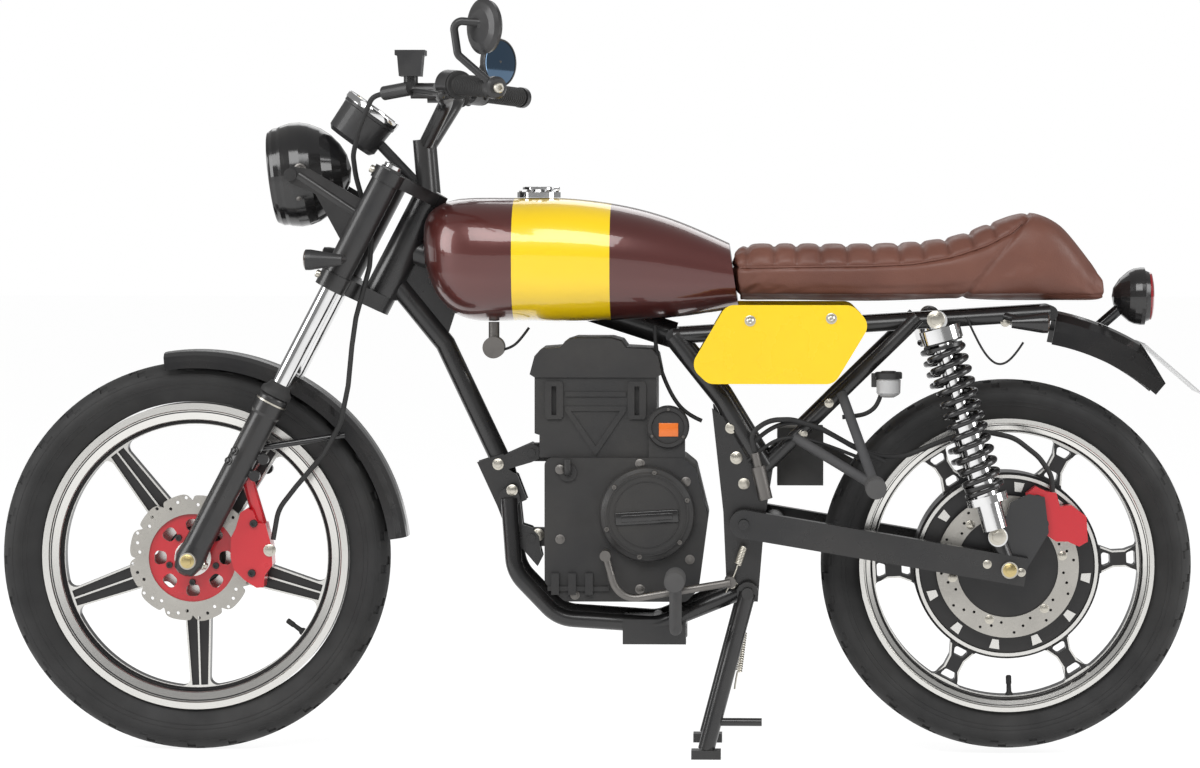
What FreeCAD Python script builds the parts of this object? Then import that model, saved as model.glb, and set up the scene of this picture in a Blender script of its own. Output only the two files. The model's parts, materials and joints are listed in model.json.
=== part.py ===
import FreeCAD, Part
import math
import os
import re

import Sketcher
from FreeCAD import Placement, Rotation, Vector

# Cafe racer motorcycle with a hub motor, standing on its centre stand.
# +X is forward, +Y is to the rider's left, +Z is up, and the ground is at zero.

UP = Vector(0, 0, 1)
LEFT = Vector(0, 1, 0)
FORWARD = Vector(1, 0, 0)
CENTRE = Vector(0, 0, 0)
FULL_TURN = 360
HALF_TURN = 180
SIDES = {"left": 1, "right": -1}

# Driving dimensions in millimetres and degrees, in groups by piece.

SIZES = {
    # front wheel
    "front_axle_x": 634.6,
    "front_tyre_radius": 306.5,
    "front_tyre_width": 82,
    "front_rim_radius": 242,
    "front_rim_width": 62,
    "front_rim_depth": 30,
    "front_hub_radius": 44,
    "front_spoke_root": 46,
    "front_spoke_tip": 30,
    "front_spoke_thickness": 26,
    "front_spokes": 5,
    "front_spoke_angle": 124.5,
    "front_window_step": 16,
    "front_window_round": 12,
    "front_rim_lip": 4,
    "spoke_line": 2.8,
    "spoke_groove": 4,
    "front_disc_radius": 100,
    "front_disc_thickness": 4,
    "front_disc_y": 58,
    "carrier_radius": 69,
    "carrier_thickness": 8,
    "carrier_lap": 5,
    "carrier_holes": 8,
    "disc_lobes": 12,
    "disc_hole_radius": 2.6,
    "front_axle_radius": 8,
    "axle_nut_radius": 13,
    "axle_nut_length": 10,
    "bore_gap": 0.05,
    "seat_gap": 0.3,
    # rear wheel
    "rear_axle_x": -640.6,
    "rear_tyre_radius": 289.8,
    "rear_tyre_width": 108,
    "rear_tyre_lift": 7,
    "rear_rim_radius": 230,
    "rear_rim_width": 84,
    "rear_rim_depth": 20,
    "rear_rim_lip": 3,
    "rear_spokes": 6,
    "rear_spoke_angle": 177,
    "rear_spoke_width": 47,
    "rear_spoke_thickness": 34,
    "rear_window_round": 7,
    "rear_slot_round": 4,
    "motor_radius": 146,
    "motor_width": 92,
    "motor_recess": 4,
    "motor_boss_radius": 84,
    "motor_tabs": 12,
    "motor_tab_angle": 8.4,
    "rear_disc_radius": 111,
    "rear_disc_thickness": 4,
    "rear_disc_y": 62,
    "rear_disc_hole": 79,
    "rear_hole_radius": 2.2,
    "rear_axle_radius": 8,
    # steering head and fork
    "rake": 27.5,
    "head_x": 304.8,
    "head_z": 792,
    "head_tube_length": 160,
    "head_tube_radius": 27,
    "stem_radius": 12,
    "fork_offset": 68,
    "fork_spread": 92,
    "stanchion_radius": 14,
    "slider_radius": 24,
    "slider_length": 292,
    "slider_foot": 26,
    "clamp_thickness": 26,
    "clamp_radius": 25,
    "top_clamp_thickness": 20,
    "shroud_radius": 22,
    "shroud_wall": 4,
    # headlight and instrument
    "lamp_x": 476,
    "lamp_z": 907,
    "lamp_tilt": 7,
    "lamp_radius": 82,
    "lamp_depth": 124,
    "lamp_wall": 3,
    "lens_rise": 9,
    "lens_thickness": 4,
    "ear_thickness": 5,
    "ear_height": 60,
    "gauge_x": 372,
    "gauge_z": 985,
    "gauge_radius": 46,
    "gauge_depth": 64,
    "gauge_tilt": 36,
    "gauge_stalk_radius": 8,
    # handlebar and what it carries
    "bar_radius": 11,
    "bar_tip_x": 143,
    "bar_tip_y": 360,
    "bar_tip_z": 1036,
    "bar_elbow_x": 228,
    "bar_elbow_y": 214,
    "bar_elbow_z": 1045,
    "bar_shoulder_x": 231,
    "bar_shoulder_y": 105,
    "bar_shoulder_z": 1020,
    "bar_foot_x": 272,
    "bar_foot_y": 45,
    "bar_foot_z": 947,
    "bar_bend": 40,
    "riser_spread": 46,
    "riser_radius": 15,
    "grip_radius": 16,
    "grip_length": 118,
    "bar_end_radius": 17,
    "bar_end_length": 14,
    "switch_length": 36,
    "switch_radius": 22,
    "reservoir_length": 50,
    "reservoir_width": 46,
    "reservoir_height": 40,
    "reservoir_rise": 42,
    "lever_length": 160,
    "lever_thickness": 8,
    "lever_reach": 52,
    "mirror_radius": 42,
    "mirror_thickness": 14,
    "mirror_rise_left": 91,
    "mirror_fold_left": 0,
    "mirror_rise_right": 68,
    "mirror_fold_right": 20,
    "mirror_stem_radius": 6,
    # front fender, brake and indicators
    "fender_gap": 27.5,
    "fender_back": 4.6,
    "fender_drop": 8.5,
    "fender_half_width": 54,
    "fender_skirt": 28,
    "fender_wall": 3,
    "fender_front_angle": 81,
    "fender_rear_angle": 173,
    "fender_stay_radius": 5,
    "caliper_width": 46,
    "disc_slot": 14,
    "hose_radius": 4,
    "hose_bend": 60,
    "indicator_length": 56,
    "indicator_radius": 16,
    "indicator_y": 148,
    "indicator_stem_radius": 6,
    # frame
    "tube_radius": 16,
    "spine_radius": 21,
    "cradle_radius": 13,
    "rail_radius": 12,
    "stay_radius": 11,
    "frame_bend": 60,
    "pivot_plate_thickness": 8,
    "pivot_plate_y": 74,
    "gusset_thickness": 8,
    "pivot_bolt_radius": 8,
    # drive unit
    "drive_half_width": 84,
    "drive_rear_x": -94,
    "drive_front_x": 96,
    "drive_top_z": 638,
    "drive_cap_height": 46,
    "case_half_width": 96,
    "case_rear_x": -160,
    "case_front_x": 80,
    "case_top_z": 467,
    "case_base_z": 243,
    "cover_x": -80,
    "cover_z": 380,
    "cover_radius": 74,
    "cover_depth": 20,
    "case_round": 12,
    "rib_height": 4,
    "rib_width": 12,
    "knob_radius": 14,
    "lug_radius": 14,
    "lug_reach": 8,
    "port_x": -112,
    "port_z": 515,
    "port_radius": 33,
    "port_depth": 16,
    # tank, seat and side covers
    "tank_front_x": 274,
    "tank_rear_x": -226,
    "tank_base_z": 677,
    "tank_top_z": 871,
    "tank_half_width": 132,
    "cap_x": 93,
    "cap_radius": 34,
    "cap_height": 17,
    "seam_low_x": -238,
    "seam_high_x": -189,
    "tunnel_gap": 4,
    "nose_gap": 17,
    "seat_front_x": -212,
    "seat_rear_x": -793,
    "seat_base_z": 708,
    "seat_top_z": 797,
    "seat_hump_z": 846,
    "seat_half_width": 118,
    "panel_thickness": 5,
    "panel_y": 132,
    "panel_top_z": 706,
    "panel_base_z": 584,
    "panel_front_x": -147,
    "panel_rear_x": -425,
    "panel_round": 22,
    "panel_stay_radius": 5,
    "lock_x": 162,
    "lock_z": 637,
    "lock_radius": 17,
    "lock_length": 40,
    # rear end
    "rear_fender_hang": 4.6,
    "rear_fender_depth": 52,
    "rear_fender_wall": 4,
    "rear_fender_half_width": 62,
    "rear_fender_front_angle": 101,
    "rear_fender_rear_angle": 130.5,
    "tail_reach": 47,
    "tail_z": 717,
    "tail_radius": 45,
    "tail_depth": 62,
    "plate_width": 180,
    "plate_angle": 121,
    "plate_slope": 40.8,
    "plate_height": 120,
    "plate_thickness": 2,
    "arm_height": 44,
    "arm_width": 26,
    "arm_y": 108,
    "shock_y": 142,
    "damper_radius": 13,
    "spring_radius": 32,
    "spring_wire": 5,
    "spring_turns": 13,
    "eye_radius": 15,
    "eye_length": 26,
    "rear_caliper_width": 44,
    # foot controls
    "peg_radius": 15,
    "peg_length": 96,
    "peg_x": -125,
    "peg_z": 286,
    "peg_inner_y": 150,
    "rear_peg_x": -432,
    "rear_peg_z": 428,
    "pedal_x": -16,
    "pedal_z": 318,
    "pedal_y": 128,
    "pedal_width": 34,
    "pedal_bar_radius": 6,
    "master_radius": 11,
    # stand
    "stand_half_width": 108,
    "stand_foot_x": -172,
    "stand_tube_radius": 13,
    "stand_foot_length": 46,
    "stand_foot_height": 14,
    "stand_pivot_radius": 9,
    "stand_fold": 92,
    "steer_lock": 28,
}

# Points that several pieces of the frame share, as x, y, z.

PLACES = {
    "spine_rear": (-120, 0, 655),
    "downtube_top": (316, 0, 735),
    "downtube_mid": (241, 0, 641.5),
    "downtube_low": (150, 0, 450),
    "cradle_front": (138, 48, 400),
    "cradle_bend": (129, 60, 286),
    "cradle_low": (60, 60, 214),
    "cradle_rear": (-95, 60, 204),
    "cradle_end": (-236, 72, 262),
    "swing_pivot": (-230, 0, 366),
    "pillar_top": (-120, 60, 655),
    "pillar_mid": (-196, 70, 560),
    "rail_rear": (-705, 70, 692),
    "stay_top": (-500, 88, 686),
    "stay_low": (-262, 76, 452),
    "shock_top": (-527, 0, 683),
    "shock_low": (-621, 0, 350),
    "stand_pivot": (-236, 0, 258),
    "master_low": (-264, 106, 404),
    "master_top": (-247, 106, 476),
}

# Sizes that follow from others, as sums of their names.

DERIVED = {
    "front_arch": "front_tyre_radius + fender_gap",
    "front_arch_x": "front_axle_x - fender_back",
    "front_arch_z": "front_tyre_radius - fender_drop",
    "rear_arch": "sqrt((rail_rear_x - rear_axle_x)^2 + (rail_rear_z - rear_tyre_radius - rear_tyre_lift)^2)"
                 " + rear_fender_hang",
    "tail_x": "seat_rear_x - tail_reach",
}

doc = FreeCAD.newDocument("CafeRacer")
sheet = doc.addObject("Spreadsheet::Sheet", "Sizes")
nodes = []


def fill_sheet():
    """Writes every driving dimension into its own cell with an alias."""
    rows = dict(SIZES)
    for name, point in PLACES.items():
        for letter, value in zip("xyz", point):
            rows[f"{name}_{letter}"] = value
    rows.update({name: f"={rule}" for name, rule in DERIVED.items()})
    for row, (name, value) in enumerate(rows.items(), start=1):
        sheet.set(f"A{row}", name)
        sheet.set(f"B{row}", str(value))
        sheet.setAlias(f"B{row}", name)
    doc.recompute()


def size(expression):
    """The value of a sum of named sizes, read from the sheet."""
    return float(sheet.evalExpression(expression))


def bound(expression):
    """The same sum as an expression that another object can follow."""
    return re.sub(r"[a-z_][a-z0-9_]*", lambda match: "Sizes." + match[0], expression)


def spot(name, side=1):
    """A shared place as a point, mirrored to the right side by side=-1."""
    return Vector(size(f"{name}_x"), side * size(f"{name}_y"), size(f"{name}_z"))


def node(thing, name):
    """Names an object as one of the part's own pieces."""
    thing.Label = name
    nodes.append(thing)
    return thing


# Ways of making a piece

UPRIGHT = Rotation(FORWARD, 90)


def new_body(name, at, turn):
    body = doc.addObject("PartDesign::Body", name)
    body.Placement = Placement(at, turn)
    return body


def origin_part(body, role):
    return [part for part in body.Origin.OriginFeatures if part.Role == role][0]


def outline(body, role, points):
    """A closed sketch on an origin plane whose corners follow the sheet."""
    sketch = body.newObject("Sketcher::SketchObject", "Outline")
    sketch.AttachmentSupport = [(origin_part(body, role), "")]
    sketch.MapMode = "FlatFace"
    corners = [Vector(size(across), size(along), 0) for across, along in points]
    count = len(corners)
    for index in range(count):
        sketch.addGeometry(Part.LineSegment(corners[index], corners[(index + 1) % count]))
    for index in range(count):
        sketch.addConstraint(Sketcher.Constraint("Coincident", index, 2, (index + 1) % count, 1))
    for index, (across, along) in enumerate(points):
        place_corner(sketch, index, "DistanceX", across)
        place_corner(sketch, index, "DistanceY", along)
    return sketch


def place_corner(sketch, index, kind, expression):
    if size(expression) == 0:
        pinned = {"DistanceX": (-1, 1, index, 1), "DistanceY": (-1, 1, index, 1)}[kind]
        sketch.addConstraint(Sketcher.Constraint(kind, *pinned, 0.0))
        return
    rule = Sketcher.Constraint(kind, -1, 1, index, 1, size(expression))
    sketch.setExpression(f"Constraints[{sketch.addConstraint(rule)}]", bound(expression))


def spin(body, points, angle=FULL_TURN):
    """Turns a closed profile of (along the axis, radius) about the body's X axis."""
    feature = body.newObject("PartDesign::Revolution", "Spin")
    feature.Profile = outline(body, "XY_Plane", points)
    feature.ReferenceAxis = (origin_part(body, "X_Axis"), [""])
    feature.Angle = angle
    return feature


def turned(name, points, at, axis):
    """A round piece: its profile turned about a line through at."""
    body = new_body(name, at, Rotation(FORWARD, axis))
    spin(body, points)
    return body


def slab(name, points, thickness, at=CENTRE, turn=UPRIGHT):
    """A flat piece: its outline padded evenly to both sides."""
    body = new_body(name, at, turn)
    pad = body.newObject("PartDesign::Pad", "Pad")
    pad.Profile = outline(body, "XY_Plane", points)
    pad.Midplane = True
    pad.setExpression("Length", bound(thickness))
    return body


def rounded(body, radius, direction=UP):
    """Rounds a slab's corners that run through its thickness."""
    doc.recompute()
    base = body.Tip
    edges = []
    for number, edge in enumerate(base.Shape.Edges, start=1):
        if len(edge.Vertexes) == 2:
            run = edge.Vertexes[1].Point - edge.Vertexes[0].Point
            if run.cross(direction).Length < run.Length * 1e-6:
                edges.append(f"Edge{number}")
    fillet = body.newObject("PartDesign::Fillet", "Rounds")
    fillet.Base = (base, edges)
    fillet.setExpression("Radius", bound(radius))
    body.Tip = fillet
    return body


def rod(name, start, end, radius):
    """A straight round bar between two points."""
    bar = doc.addObject("Part::Cylinder", name)
    bar.setExpression("Radius", bound(radius))
    bar.Height = (end - start).Length
    bar.Placement = Placement(start, Rotation(UP, end - start))
    return bar


def block(name, low, high):
    """A box between two corners given as sums of named sizes."""
    box = doc.addObject("Part::Box", name)
    for edge, below, above in zip(("Length", "Width", "Height"), low, high):
        box.setExpression(edge, bound(f"({above}) - ({below})"))
    for letter, below in zip("xyz", low):
        box.setExpression(f"Placement.Base.{letter}", bound(below))
    return box


def formed(name, shape):
    """A piece whose shape is worked out from the sheet's sizes."""
    feature = doc.addObject("Part::Feature", name)
    feature.Shape = shape
    return feature


def joined(name, things):
    fuse = doc.addObject("Part::MultiFuse", name)
    fuse.Shapes = things
    fuse.Refine = True
    return fuse


def together(name, things):
    """Like pieces on one body that don't touch each other."""
    group = doc.addObject("Part::Compound", name)
    group.Links = things
    return group


def less(name, base, tools):
    """A piece with others cut out of it."""
    for number, tool in enumerate(tools):
        cut = doc.addObject("Part::Cut", f"{name}_{number}")
        cut.Base = base
        cut.Tool = tool
        base = cut
    return base


def bent_path(points, bend):
    """Straight runs joined by arcs that touch both runs."""
    edges = []
    start = points[0]
    for before, corner, after in zip(points, points[1:], points[2:]):
        back = before - corner
        on = after - corner
        half = (math.pi - back.getAngle(on)) / 2
        reach = min(bend * math.tan(half), 0.45 * min(back.Length, on.Length))
        back.normalize()
        on.normalize()
        entry = corner + back * reach
        leave = corner + on * reach
        radius = reach / math.tan(half)
        middle = back + on
        middle.normalize()
        top = corner + middle * (radius / math.cos(half) - radius)
        edges.append(Part.LineSegment(start, entry).toShape())
        edges.append(Part.Arc(entry, top, leave).toShape())
        start = leave
    edges.append(Part.LineSegment(start, points[-1]).toShape())
    return Part.Wire(edges)


def tube(name, points, radius, bend):
    """A round tube along straight runs and arcs."""
    path = bent_path(points, bend)
    ring = Part.Circle(points[0], points[1] - points[0], radius).toShape()
    return formed(name, path.makePipeShell([Part.Wire(ring)], True, False))


SECTION_STEPS = 20


def ring_section(along, low, high, half_width, squareness):
    """A closed cross-section across X, between an ellipse and a rectangle."""
    points = []
    for step in range(SECTION_STEPS):
        angle = 2 * math.pi * step / SECTION_STEPS
        across = math.copysign(abs(math.cos(angle)) ** (2 / squareness), math.cos(angle))
        rise = math.copysign(abs(math.sin(angle)) ** (2 / squareness), math.sin(angle))
        middle = (low + high) / 2
        points.append(Vector(along, half_width * across, middle + (high - middle) * rise))
    curve = Part.BSplineCurve()
    curve.interpolate(points, PeriodicFlag=True)
    return Part.Wire(curve.toShape())


def lofted(name, sections):
    return formed(name, Part.makeLoft(sections, True, False))


fill_sheet()

# Lines of the steering head and the fork

RAKE = math.radians(size("rake"))
FORK = Vector(-math.sin(RAKE), 0, math.cos(RAKE))
AHEAD = Vector(math.cos(RAKE), 0, math.sin(RAKE))
HEAD = Vector(size("head_x"), 0, size("head_z"))
FRONT_AXLE = Vector(size("front_axle_x"), 0, size("front_tyre_radius"))
REAR_AXLE = Vector(size("rear_axle_x"), 0, size("rear_tyre_radius + rear_tyre_lift"))


def on_fork(distance, side=0):
    """A point on a fork leg's line, measured up from the axle."""
    return FRONT_AXLE + FORK * distance + LEFT * (side * size("fork_spread"))


def on_head(distance):
    """A point on the steering axis, measured up from the head tube's middle."""
    return HEAD + FORK * distance


# Wheels

TYRE_SHARES = [(-0.62, 0.0), (-0.82, 0.28), (-1.0, 0.60), (-0.88, 0.82), (-0.60, 0.94), (-0.25, 1.0),
               (0.25, 1.0), (0.60, 0.94), (0.88, 0.82), (1.0, 0.60), (0.82, 0.28), (0.62, 0.0)]


def make_tyre(end, at):
    bead = f"{end}_rim_radius + seat_gap"
    depth = f"({end}_tyre_radius - {end}_rim_radius - seat_gap)"
    points = [(f"{end}_tyre_width * {across / 2}", f"{bead} + {depth} * {rise}")
              for across, rise in TYRE_SHARES]
    return node(turned(f"{end}_tyre", points, at, LEFT), f"{end}_tyre")


RIM_SHARES = [(-1.0, 0.0), (-1.0, 0.34), (-0.92, 0.40), (-0.86, 0.86), (-0.72, 1.0), (0.72, 1.0),
              (0.86, 0.86), (0.92, 0.40), (1.0, 0.34), (1.0, 0.0)]


def rim_points(end):
    return [(f"{end}_rim_width * {across / 2}", f"{end}_rim_radius - {end}_rim_depth * {depth}")
            for across, depth in RIM_SHARES]


def beside(angle, pairs):
    """Points beside a spoke's middle line, as (distance out, distance aside) from the wheel's centre."""
    way = math.radians(angle)
    out = Vector(math.cos(way), 0, math.sin(way))
    aside = Vector(-math.sin(way), 0, math.cos(way))
    return [out * along + aside * across for along, across in pairs]


def prism(points, at, half):
    """A flat solid between corner points, even about the plane through at."""
    corners = [at + point - LEFT * half for point in points + points[:1]]
    return Part.Face(Part.makePolygon(corners)).extrude(LEFT * (half * 2))


def softened(shape, radius):
    """Rounds the corners of a flat solid that run through its thickness."""
    edges = [edge for edge in shape.Edges if len(edge.Vertexes) == 2
             and edge.tangentAt(edge.FirstParameter).cross(LEFT).Length < 1e-6]
    return shape.makeFillet(radius, edges)


def ringed(shapes, at, first, count):
    """Copies of shapes about a wheel's axle, the first one turned to its angle."""
    copies = []
    for number in range(count):
        for shape in shapes:
            copy = shape.copy()
            copy.rotate(at, LEFT, -first - FULL_TURN * number / count)
            copies.append(copy)
    return copies


def window(at, side, inner, outer, half, corner, count):
    """The opening between two spokes, on the side away from the wheel's front."""
    before = beside(HALF_TURN - HALF_TURN / count, side)
    after = beside(HALF_TURN + HALF_TURN / count, [(along, -across) for along, across in side])
    wedge = prism(before + after[::-1], at, half)
    start = at - LEFT * half
    ring = Part.makeCylinder(outer, half * 2, start, LEFT).cut(Part.makeCylinder(inner, half * 2, start,
                                                                                 LEFT))
    return softened(wedge.common(ring), corner)


def make_front_wheel():
    make_tyre("front", FRONT_AXLE)
    body = new_body("front_rim_body", FRONT_AXLE, Rotation(FORWARD, LEFT))
    spin(body, rim_points("front"))
    web = "front_spoke_thickness / 2"
    spin(body, [(f"-{web}", "front_hub_radius * 0.8"), (web, "front_hub_radius * 0.8"),
                (web, "front_rim_radius - front_rim_depth * 0.9"),
                (f"-{web}", "front_rim_radius - front_rim_depth * 0.9")])
    bore = "front_axle_radius + bore_gap"
    half = "(front_disc_y - front_disc_thickness / 2 - carrier_thickness - seat_gap)"
    spin(body, [(f"-{half}", bore), (half, bore), (half, "front_hub_radius * 0.7"),
                (f"{half} * 0.8", "front_hub_radius * 0.75"), (f"{half} * 0.5", "front_hub_radius"),
                (f"-{half} * 0.5", "front_hub_radius"), (f"-{half} * 0.8", "front_hub_radius * 0.75"),
                (f"-{half}", "front_hub_radius * 0.7")])
    hub = size("front_hub_radius")
    rim = size("front_rim_radius - front_rim_depth")
    root = size("front_spoke_root / 2")
    tip = size("front_spoke_tip / 2")
    slope = (tip - root) / (rim - hub)
    side = [(0, root - slope * hub), (rim + hub, root + slope * rim)]
    inner = size("front_hub_radius + front_window_step")
    outer = size("front_rim_radius - front_rim_depth - front_rim_lip")
    count = int(size("front_spokes"))
    opening = window(FRONT_AXLE, side, inner, outer, size(web) * 2, size("front_window_round"), count)
    first = size("front_spoke_angle")
    tools = ringed([opening], FRONT_AXLE, first - HALF_TURN + HALF_TURN / count, count)
    line = size("spoke_line")
    start = inner + line * 2
    end = outer - line
    groove = [(start, line / 2), (end, line / 2), (end, root + slope * (end - hub) - line),
              (start, root + slope * (start - hub) - line)]
    grooves = []
    for sign in SIDES.values():
        face = FRONT_AXLE + LEFT * (sign * size(web))
        for way in SIDES.values():
            corners = beside(0, [(along, way * across) for along, across in groove])
            grooves.append(prism(corners, face, size("spoke_groove")))
    tools += ringed(grooves, FRONT_AXLE, first, count)
    node(less("front_rim", body, [formed("front_windows", Part.makeCompound(tools))]), "front_rim")
    make_front_disc()


def make_front_disc():
    inner = "front_axle_radius * 2.5"
    low = "front_disc_y - carrier_thickness - front_disc_thickness / 2"
    outer = "carrier_radius + carrier_lap"
    plate = turned("carrier_plate", [(low, inner), (f"{low} + carrier_thickness", inner),
                                     (f"{low} + carrier_thickness", outer), (low, outer)], FRONT_AXLE, LEFT)
    reach = size("carrier_radius")
    at = FRONT_AXLE + LEFT * size("front_disc_y - front_disc_thickness / 2 - carrier_thickness / 2")
    corners = beside(0, [(reach * out, reach * across) for out, across in CARRIER_HOLE_SHARES])
    hole = softened(prism(corners, at, size("carrier_thickness")), reach * CARRIER_ROUND_SHARE)
    holes = ringed([hole], at, 0, int(size("carrier_holes")))
    node(less("disc_carrier", plate, [formed("carrier_windows", Part.makeCompound(holes))]), "disc_carrier")
    at = FRONT_AXLE + LEFT * size("front_disc_y")
    lobes = int(size("disc_lobes"))
    radius = size("front_disc_radius")
    points = []
    for number in range(lobes):
        for turn, share in LOBE_SHARES:
            points += beside(FULL_TURN * (number + turn) / lobes, [(radius * share, 0)])
    half = size("front_disc_thickness / 2")
    curve = Part.BSplineCurve()
    curve.interpolate([at + point - LEFT * half for point in points], PeriodicFlag=True)
    disc = Part.Face(Part.Wire(curve.toShape())).extrude(LEFT * (half * 2))
    start = at - LEFT * (half * 2)
    cuts = [Part.makeCylinder(size("carrier_radius"), half * 4, start, LEFT)]
    for turn, share in DISC_HOLE_SHARES:
        spot_on = beside(FULL_TURN * turn / lobes, [(radius * share, 0)])[0]
        cuts += ringed([Part.makeCylinder(size("disc_hole_radius"), half * 4, start + spot_on, LEFT)], at,
                       0, lobes)
    node(formed("front_disc", disc.cut(Part.makeCompound(cuts))), "front_disc")


LOBE_SHARES = [(0.0, 0.91), (0.06, 0.965), (0.16, 0.985), (0.5, 1.0), (0.84, 0.985), (0.95, 0.93)]
DISC_HOLE_SHARES = [(0.20, 0.84), (0.50, 0.90), (0.80, 0.95)]
CARRIER_HOLE_SHARES = [(0.60, -0.13), (0.88, -0.18), (0.88, 0.18), (0.60, 0.13)]
CARRIER_ROUND_SHARE = 0.11


def make_rear_wheel():
    make_tyre("rear", REAR_AXLE)
    body = new_body("rear_rim_body", REAR_AXLE, Rotation(FORWARD, LEFT))
    spin(body, rim_points("rear"))
    web = "rear_spoke_thickness / 2"
    spin(body, [(f"-{web}", "motor_radius * 0.9"), (web, "motor_radius * 0.9"),
                (web, "rear_rim_radius - rear_rim_depth * 0.9"),
                (f"-{web}", "rear_rim_radius - rear_rim_depth * 0.9")])
    bore = "rear_axle_radius + bore_gap"
    half = "motor_width / 2"
    boss = "(rear_disc_y - rear_disc_thickness / 2 - seat_gap)"
    side = [(boss, bore), (boss, "motor_boss_radius"), (f"{half} - motor_recess", "motor_boss_radius"),
            (f"{half} - motor_recess", "motor_radius * 0.93"), (half, "motor_radius * 0.94"),
            (half, "motor_radius * 0.975"), (f"{half} * 0.85", "motor_radius")]
    spin(body, side + [(f"-({along})", out) for along, out in side[::-1]])
    hub = size("motor_radius")
    rim = size("rear_rim_radius - rear_rim_depth - rear_rim_lip")
    run = rim - hub
    wide = size("rear_spoke_width / 2")
    side = [(hub + run * out, wide * across) for out, across in REAR_SPOKE_SHARES]
    count = int(size("rear_spokes"))
    first = size("rear_spoke_angle")
    opening = window(REAR_AXLE, side, hub, rim, size(web) * 2, size("rear_window_round"), count)
    tools = ringed([opening], REAR_AXLE, first - HALF_TURN + HALF_TURN / count, count)
    slots = []
    for shares in REAR_SLOT_SHARES:
        corners = beside(0, [(hub + run * out, wide * across) for out, across in shares])
        slots.append(softened(prism(corners, REAR_AXLE, size(web) * 2), size("rear_slot_round")))
    line = size("spoke_line")
    for sign in SIDES.values():
        half_edge = [(out, across - line) for out, across in side[1:-1]]
        corners = [(hub + line, wide - line * 2)] + half_edge + [(rim - line, wide - line)]
        mirrored = [(out, -across) for out, across in corners[::-1]]
        slots.append(prism(beside(0, corners + mirrored), REAR_AXLE + LEFT * (sign * size(web)),
                           size("spoke_groove / 2")))
    tools += ringed(slots, REAR_AXLE, first, count)
    rim_cut = less("rear_rim_cut", body, [formed("rear_windows", Part.makeCompound(tools))])
    tabs = []
    for sign in SIDES.values():
        corners = beside(0, [(hub * out, hub * across) for out, across in MOTOR_TAB_SHARES])
        face = REAR_AXLE + LEFT * (sign * size("motor_width / 2 - motor_recess"))
        tabs.append(prism(corners, face, size("motor_recess * 0.8")))
    tabs = ringed(tabs, REAR_AXLE, size("motor_tab_angle"), int(size("motor_tabs")))
    node(joined("rear_rim", [rim_cut, formed("motor_tabs_ring", Part.makeCompound(tabs))]), "rear_rim")
    near = "rear_disc_y - rear_disc_thickness / 2"
    far = "rear_disc_y + rear_disc_thickness / 2"
    disc = turned("rear_disc_plate", [(near, "rear_disc_hole"), (far, "rear_disc_hole"),
                                      (far, "rear_disc_radius"), (near, "rear_disc_radius")], REAR_AXLE, LEFT)
    radius = size("rear_disc_radius")
    reach = size("rear_disc_thickness * 2")
    start = REAR_AXLE + LEFT * (size("rear_disc_y") - reach / 2)
    holes = []
    for turn, share in REAR_HOLE_SHARES:
        spot_on = beside(FULL_TURN * turn / size("motor_tabs"), [(radius * share, 0)])[0]
        holes.append(Part.makeCylinder(size("rear_hole_radius"), reach, start + spot_on, LEFT))
    holes = ringed(holes, REAR_AXLE, 0, int(size("motor_tabs")))
    node(less("rear_disc", disc, [formed("rear_disc_holes", Part.makeCompound(holes))]), "rear_disc")


REAR_SPOKE_SHARES = [(-0.06, 1.0), (0.34, 0.56), (0.66, 0.56), (1.3, 1.12)]
REAR_SLOT_SHARES = [[(0.06, -0.52), (0.28, -0.32), (0.28, 0.32), (0.06, 0.52)],
                    [(0.70, -0.36), (0.92, -0.56), (0.92, 0.56), (0.70, 0.36)]]
REAR_HOLE_SHARES = [(0.2, 0.79), (0.5, 0.86), (0.8, 0.93)]
MOTOR_TAB_SHARES = [(0.80, -0.035), (0.90, -0.055), (0.90, 0.055), (0.80, 0.035)]


# Steering and fork


def make_axle(end, at, reach):
    nut = f"{reach} + axle_nut_length"
    points = [(f"-({nut})", "0"), (nut, "0"), (nut, "axle_nut_radius"), (reach, "axle_nut_radius"),
              (reach, f"{end}_axle_radius"), (f"-({reach})", f"{end}_axle_radius"),
              (f"-({reach})", "axle_nut_radius"), (f"-({nut})", "axle_nut_radius")]
    return node(turned(f"{end}_axle", points, at, LEFT), f"{end}_axle")


def clamp_block(name, distance, thickness):
    """A yoke that joins both fork legs and the stem."""
    legs = [rod(f"{name}_{side}", on_fork(distance, sign) - FORK * (size(thickness) / 2),
                on_fork(distance, sign) + FORK * (size(thickness) / 2), "clamp_radius")
            for side, sign in SIDES.items()]
    middle = on_fork(distance) - AHEAD * size("fork_offset")
    boss = rod(f"{name}_boss", middle - FORK * (size(thickness) / 2),
               middle + FORK * (size(thickness) / 2), "clamp_radius")
    half = "fork_spread"
    web = slab(f"{name}_web", [("-fork_offset - clamp_radius * 0.5", "-clamp_radius"),
                               ("clamp_radius * 0.4", f"-{half}"), ("clamp_radius * 0.4", half),
                               ("-fork_offset - clamp_radius * 0.5", "clamp_radius")],
               thickness, on_fork(distance), Rotation(LEFT, -size("rake")))
    return legs + [boss, web]


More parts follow.
